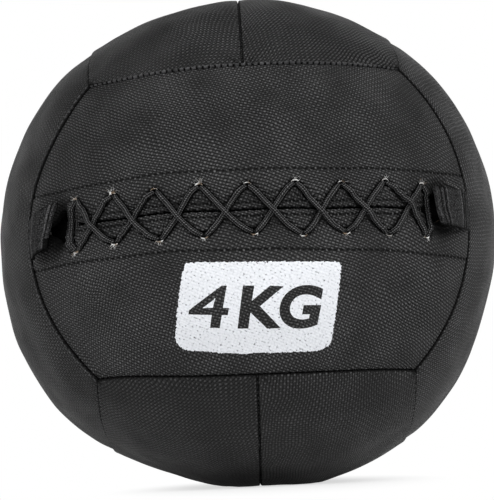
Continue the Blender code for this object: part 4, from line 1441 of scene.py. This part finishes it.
# %% [markdown]
# ## The weight mark
# A soft ball is sold by weight, so the lower panel carries a plain weight mark: a leaning white patch
# printed on the cloth, with its figure and letters left bare. A flat curve can have holes, so the patch's
# outline and Blender's own letters are joined into one curve, which fills between them. As a mesh it is cut
# into small cells, and then laid on the cloth like everything else. The ink misses the weave's deepest
# places.

# %% Make the print's material
white_print, tree = new_material("white_print", (0.80, 0.82, 0.85), 0.6)
cloth = add_node(tree, "UVMap", uv_map="cloth")
pillows = weave_height(cloth)
shade = (pillows * 0.20 + cloth.noise(620.0, 1.0)).ramp(
    (0.31, (0.12, 0.12, 0.14)), (0.38, (0.64, 0.66, 0.70)), (0.50, (0.80, 0.82, 0.86)),
    (0.80, (0.88, 0.90, 0.94)),
)
feed_shader(white_print, shade, pillows.bump(0.00012))

# %% Cut out and lay the weight mark
PATCH_CORNERS = (  # millimetres along the slit and across it
    (-42.7, -30.7), (5.2, -32.9), (56.8, -34.2), (52.9, -89.4),
    (44.2, -92.6), (-10.9, -92.6), (-51.2, -88.6), (-56.6, -83.1),
)
SIGNS = (  # left, low, wide, tall, then lean, tilt and how much bolder than the plain letter
    ("4", -45.8, -72.9, 26.0, 27.3, 0.25, -0.073, 0.65),
    ("K", -11.9, -75.5, 27.5, 27.8, 0.19, -0.046, 1.5),
    ("G", 14.3, -76.8, 27.4, 28.4, 0.14, -0.022, 1.4),
)


def patch_outline():
    """The patch's outline at half-millimetre steps, with round corners and an edge ragged by the weave."""
    corners = np.array(PATCH_CORNERS + PATCH_CORNERS[:1])
    line = places_at(corners, np.arange(0, travelled(corners)[-1], 0.5))
    for _ in range(4):
        line = sum(np.roll(line, shift, axis=0) for shift in range(-4, 5)) / 9
    hand = np.random.default_rng(21)
    ragged = np.repeat(hand.normal(0, 0.26, (len(line) // 2 + 1, 2)), 2, axis=0)
    return line + ragged[: len(line)]


def flat_curve(name, points):
    curve = bpy.data.curves.new(name, "CURVE")
    curve.dimensions = "2D"
    add_spline(curve, points).use_cyclic_u = True
    return add_object(name, curve)


def letter_loops(sign):
    """The closed outlines of one of Blender's own letters."""
    select_only()
    bpy.ops.object.text_add()
    letter = bpy.context.object
    letter.data.body = sign
    letter.data.fill_mode = "NONE"
    letter.data.resolution_u = 8
    bpy.ops.object.convert(target="MESH")
    letter = bpy.context.object
    points = get_points(letter)[:, :2]
    ends = [tuple(edge.vertices) for edge in letter.data.edges]
    closing = sorted(max(pair) for pair in ends if abs(pair[0] - pair[1]) > 1)
    bpy.data.objects.remove(letter)
    return np.split(points, [last + 1 for last in closing[:-1]])


def bolder(loop, by):
    """Moves an outline away from its ink."""
    ahead = unit(np.roll(loop, -1, axis=0) - loop)
    behind = np.roll(ahead, 1, axis=0)
    mitre = (ahead + behind) / np.maximum(1 + (ahead * behind).sum(1), 0.35)[:, None]
    return loop + by * np.stack([mitre[:, 1], -mitre[:, 0]], 1)


def cut_sign(sign, left, low, wide, tall, lean, tilt, bold):
    """One letter as flat curves, made bold and fitted to its place."""
    loops = letter_loops(sign)
    every = np.concatenate(loops)
    least, most = every.min(0), every.max(0)
    outer = max(loops, key=len)
    area = (outer[:, 0] * np.roll(outer[:, 1], -1) - outer[:, 1] * np.roll(outer[:, 0], -1)).sum()
    pieces = []
    for number, loop in enumerate(loops):
        fitted = bold + (loop - least) / (most - least) * (np.array([wide, tall]) - 2 * bold)
        fitted = bolder(fitted, bold * np.sign(area))
        across, up = fitted.T
        placed = np.stack([left + across + lean * up, low + up + tilt * across], 1)
        pieces.append(flat_curve(f"sign_{sign}_{number}", placed))
    return pieces


letters = [piece for sign in SIGNS for piece in cut_sign(*sign)]
mark = join([flat_curve("weight_mark", patch_outline()), *letters], "weight_mark")
mark.data.dimensions = "2D"
mark.data.fill_mode = "BOTH"
bpy.ops.object.convert(target="MESH")
mark = bpy.context.object
with editing(mark):
    for axis, low, high in ((X, -58, 56), (Y, -92, -30)):
        for place in np.arange(low, high, 2.0):
            bpy.ops.mesh.select_all(action="SELECT")
            bpy.ops.mesh.bisect(plane_co=tuple(axis * place), plane_no=tuple(axis))
    bpy.ops.mesh.select_all(action="SELECT")
    bpy.ops.mesh.remove_doubles(threshold=0.01)
along, across, _ = get_points(mark).T / 1000
set_points(mark, on_closure(along, across - SLIT_RISE - slit_wander(along), 0.00012))
set_uv(mark, "cloth", along_grain("front_lower", flat_cloth(along / RADIUS, -across / RADIUS)))
thicken(mark, 0.00016)
finish_piece(mark, white_print, smooth=60)
print("weight mark:", len(mark.data.polygons), "faces")

# %% [markdown]
# ## What is inside
# Nothing inside shows, but a reusable ball can be cut open or left unlaced. Under each panel lies a foam
# pad with soft edges. Two lots of fibre fill the middle round a tied cloth bag, and the bag holds the sand
# that makes the weight.

# %% Make the fillings' materials
foam_grey, tree = new_material("foam_grey", (0.22, 0.22, 0.23), 0.95)
cells = add_node(tree, "TexVoronoi", object_place(tree), None, 700.0, out="Distance")
feed_shader(foam_grey, cells.ramp((0.15, (0.10, 0.10, 0.105)), (0.6, (0.27, 0.27, 0.28))), cells.bump(0.0006))

fibre_white, tree = new_material("fibre_white", (0.72, 0.71, 0.67), 1.0)
place = object_place(tree)
tufts = place.noise(90.0, 8.0, 0.62)
strands = add_node(tree, "TexWave", place, 260.0, 14.0, 4.0, 2.0, out="Fac")
shade = tufts.ramp((0.3, (0.48, 0.47, 0.44)), (0.7, (0.80, 0.79, 0.76)))
feed_shader(fibre_white, shade, strands.bump(0.0005, tufts.bump(0.004)))
tree.nodes["Principled BSDF"].inputs["Sheen Weight"].default_value = 0.3

bag_canvas = woven_material(
    "bag_canvas", (0.30, 0.28, 0.24), (0.1, (0.17, 0.16, 0.135)), (0.9, (0.36, 0.34, 0.29))
)

sand_grains, tree = new_material("sand_grains", (0.42, 0.34, 0.23), 0.95)
grains = add_node(tree, "TexVoronoi", object_place(tree), None, 1400.0, out="Distance")
tint = Signal(tree, grains.socket.node.outputs["Color"])
feed_shader(sand_grains, tint.ramp((0.1, (0.22, 0.17, 0.11)), (0.9, (0.60, 0.50, 0.35))), grains.bump(0.0004))
print("fillings' materials made")

# %% Lay the foam pads
FOAM_DEPTH = 0.0031
FOAM = 0.0101
for name in PANELS:
    pad = new_grid("pad_" + name, 36, 14)
    flat = get_points(pad)
    centre_inset = 0.0352 if name.startswith("front") else 0.0036
    row = (flat[:, 1] + 1) / 2
    set_points(pad, panel_surface(name, flat[:, 0], row, centre_inset, 0.0036, 0.0036, FOAM_DEPTH, 0.5)[0])
    thicken(pad, FOAM)
    apply_modifier(pad, "BEVEL", width=0.0022, segments=3, angle_limit=math.radians(40))
    finish_piece(pad, foam_grey, stands_for=[name + "_foam"], smooth=60)
print("foam pads laid")

# %% Turn the bag, its tie and the sand
BAG_RADIUS = 0.065
NECK_RADIUS = 0.009
TIE_LEVEL = math.sqrt(BAG_RADIUS**2 - NECK_RADIUS**2) + 0.012
AROUND = 112
TIE_RADIUS = 0.01055
SAND_LEVEL = 0.04796  # above the ball's middle
belly = np.linspace(math.asin(NECK_RADIUS / BAG_RADIUS), math.pi, 54)
neck = np.array([[0.0135, 0.0075], [0.0115, 0.0050], [0.0093, 0.0024], [0.0086, 0], [0.0090, -0.0030]])
outline = np.concatenate([  # distances from the bag's axis and heights, from its open mouth to its foot
    neck + (0, TIE_LEVEL), np.stack([np.sin(belly), np.cos(belly)], 1) * (BAG_RADIUS - 0.0008)
])
bag = new_grid("sand_bag", AROUND, len(outline) - 1)
flat = get_points(bag)
around = flat[:, 0] * math.pi
across, up = outline[np.round((flat[:, 1] + 1) / 2 * (len(outline) - 1)).astype(int)].T
gather = hill((up - TIE_LEVEL) / 0.022, 1) * (up > 0)
pleats = 1 + gather * (0.07 * np.cos(around * 16) + 0.03 * np.cos(around * 7 + 1))
sag = 1 - 0.006 * (1 + np.sin(around * 3 + 0.6)) * np.sin(np.clip(up / BAG_RADIUS, -1, 1) * 1.5 + 1.5) ** 2
width = across * np.minimum(pleats * sag, 1.13)
set_points(bag, np.stack([width * np.sin(around), -width * np.cos(around), up + BALL_CENTRE.z], 1))
set_uv(bag, "cloth", np.stack([around * BAG_RADIUS, -up], 1))
with editing(bag):
    bpy.ops.mesh.remove_doubles(threshold=0.00002)
thicken(bag, 0.0008)
finish_piece(bag, bag_canvas, stands_for=["weight_bag"], smooth=60)

select_only()
bpy.ops.mesh.primitive_uv_sphere_add(segments=64, ring_count=40, radius=BAG_RADIUS - 0.0026)
sand = bpy.context.object
sand.name = "sand_heap"
points = get_points(sand)
surface = SAND_LEVEL + 0.0012 * np.sin(points[:, 0] * 160) * np.cos(points[:, 1] * 130)
points[:, 2] = np.minimum(points[:, 2], surface - 0.02 * np.hypot(points[:, 0], points[:, 1]))
points[:, 2] += BALL_CENTRE.z
set_points(sand, points)
finish_piece(sand, sand_grains, stands_for=["weight_sand"], smooth=70)

turn = np.linspace(0, 2 * math.pi, 73)
tie_height = BALL_CENTRE.z + TIE_LEVEL + 0.00015 * np.sin(turn * 5)
tie_line = np.stack([TIE_RADIUS * np.sin(turn), -TIE_RADIUS * np.cos(turn), tie_height], 1)
tie = tube_along("neck_tie", [(tie_line, np.ones(73))], 0.0025, 3)
set_cord_uv(tie, tie_line, 0.0025)
finish_piece(tie, cord_braid, stands_for=["bag_tie"], smooth=70)
print("bag, sand and tie made")

# %% Pack the fibre
PADDING_DEPTH = 0.0150
NECK_REACH = TIE_LEVEL + 0.012  # the room for the bag's neck, from the ball's middle
for word, behind in (("back", 1), ("front", -1)):
    select_only()
    bpy.ops.mesh.primitive_uv_sphere_add(segments=96, ring_count=48, radius=1)
    filling = bpy.context.object
    filling.name = "fibre_" + word
    direction = unit(get_points(filling))
    tufted = 0.0009 * (1 + lumps(direction * RADIUS, 0.35))
    set_points(filling, point_in_ball(direction, PADDING_DEPTH + np.maximum(tufted, 0)))
    with editing(filling):
        bpy.ops.mesh.bisect(
            plane_co=(0, behind * 0.0002, 0), plane_no=(0, behind, 0), use_fill=True, clear_inner=True
        )
    select_only()
    bpy.ops.mesh.primitive_uv_sphere_add(
        segments=64, ring_count=32, radius=BAG_RADIUS + 0.0005, location=BALL_CENTRE
    )
    room = bpy.context.object
    neck_middle = BALL_CENTRE + Vector((0, 0, NECK_REACH / 2))
    bpy.ops.mesh.primitive_cylinder_add(vertices=48, radius=0.0155, depth=NECK_REACH, location=neck_middle)
    neck_room = bpy.context.object
    bpy.context.view_layer.update()
    cut_out(filling, room)
    cut_out(filling, neck_room)
    finish_piece(filling, fibre_white, stands_for=[word + "_padding"], smooth=60)
print("fibre packed")

# %% Work out the bounds of what is shown
low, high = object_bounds()
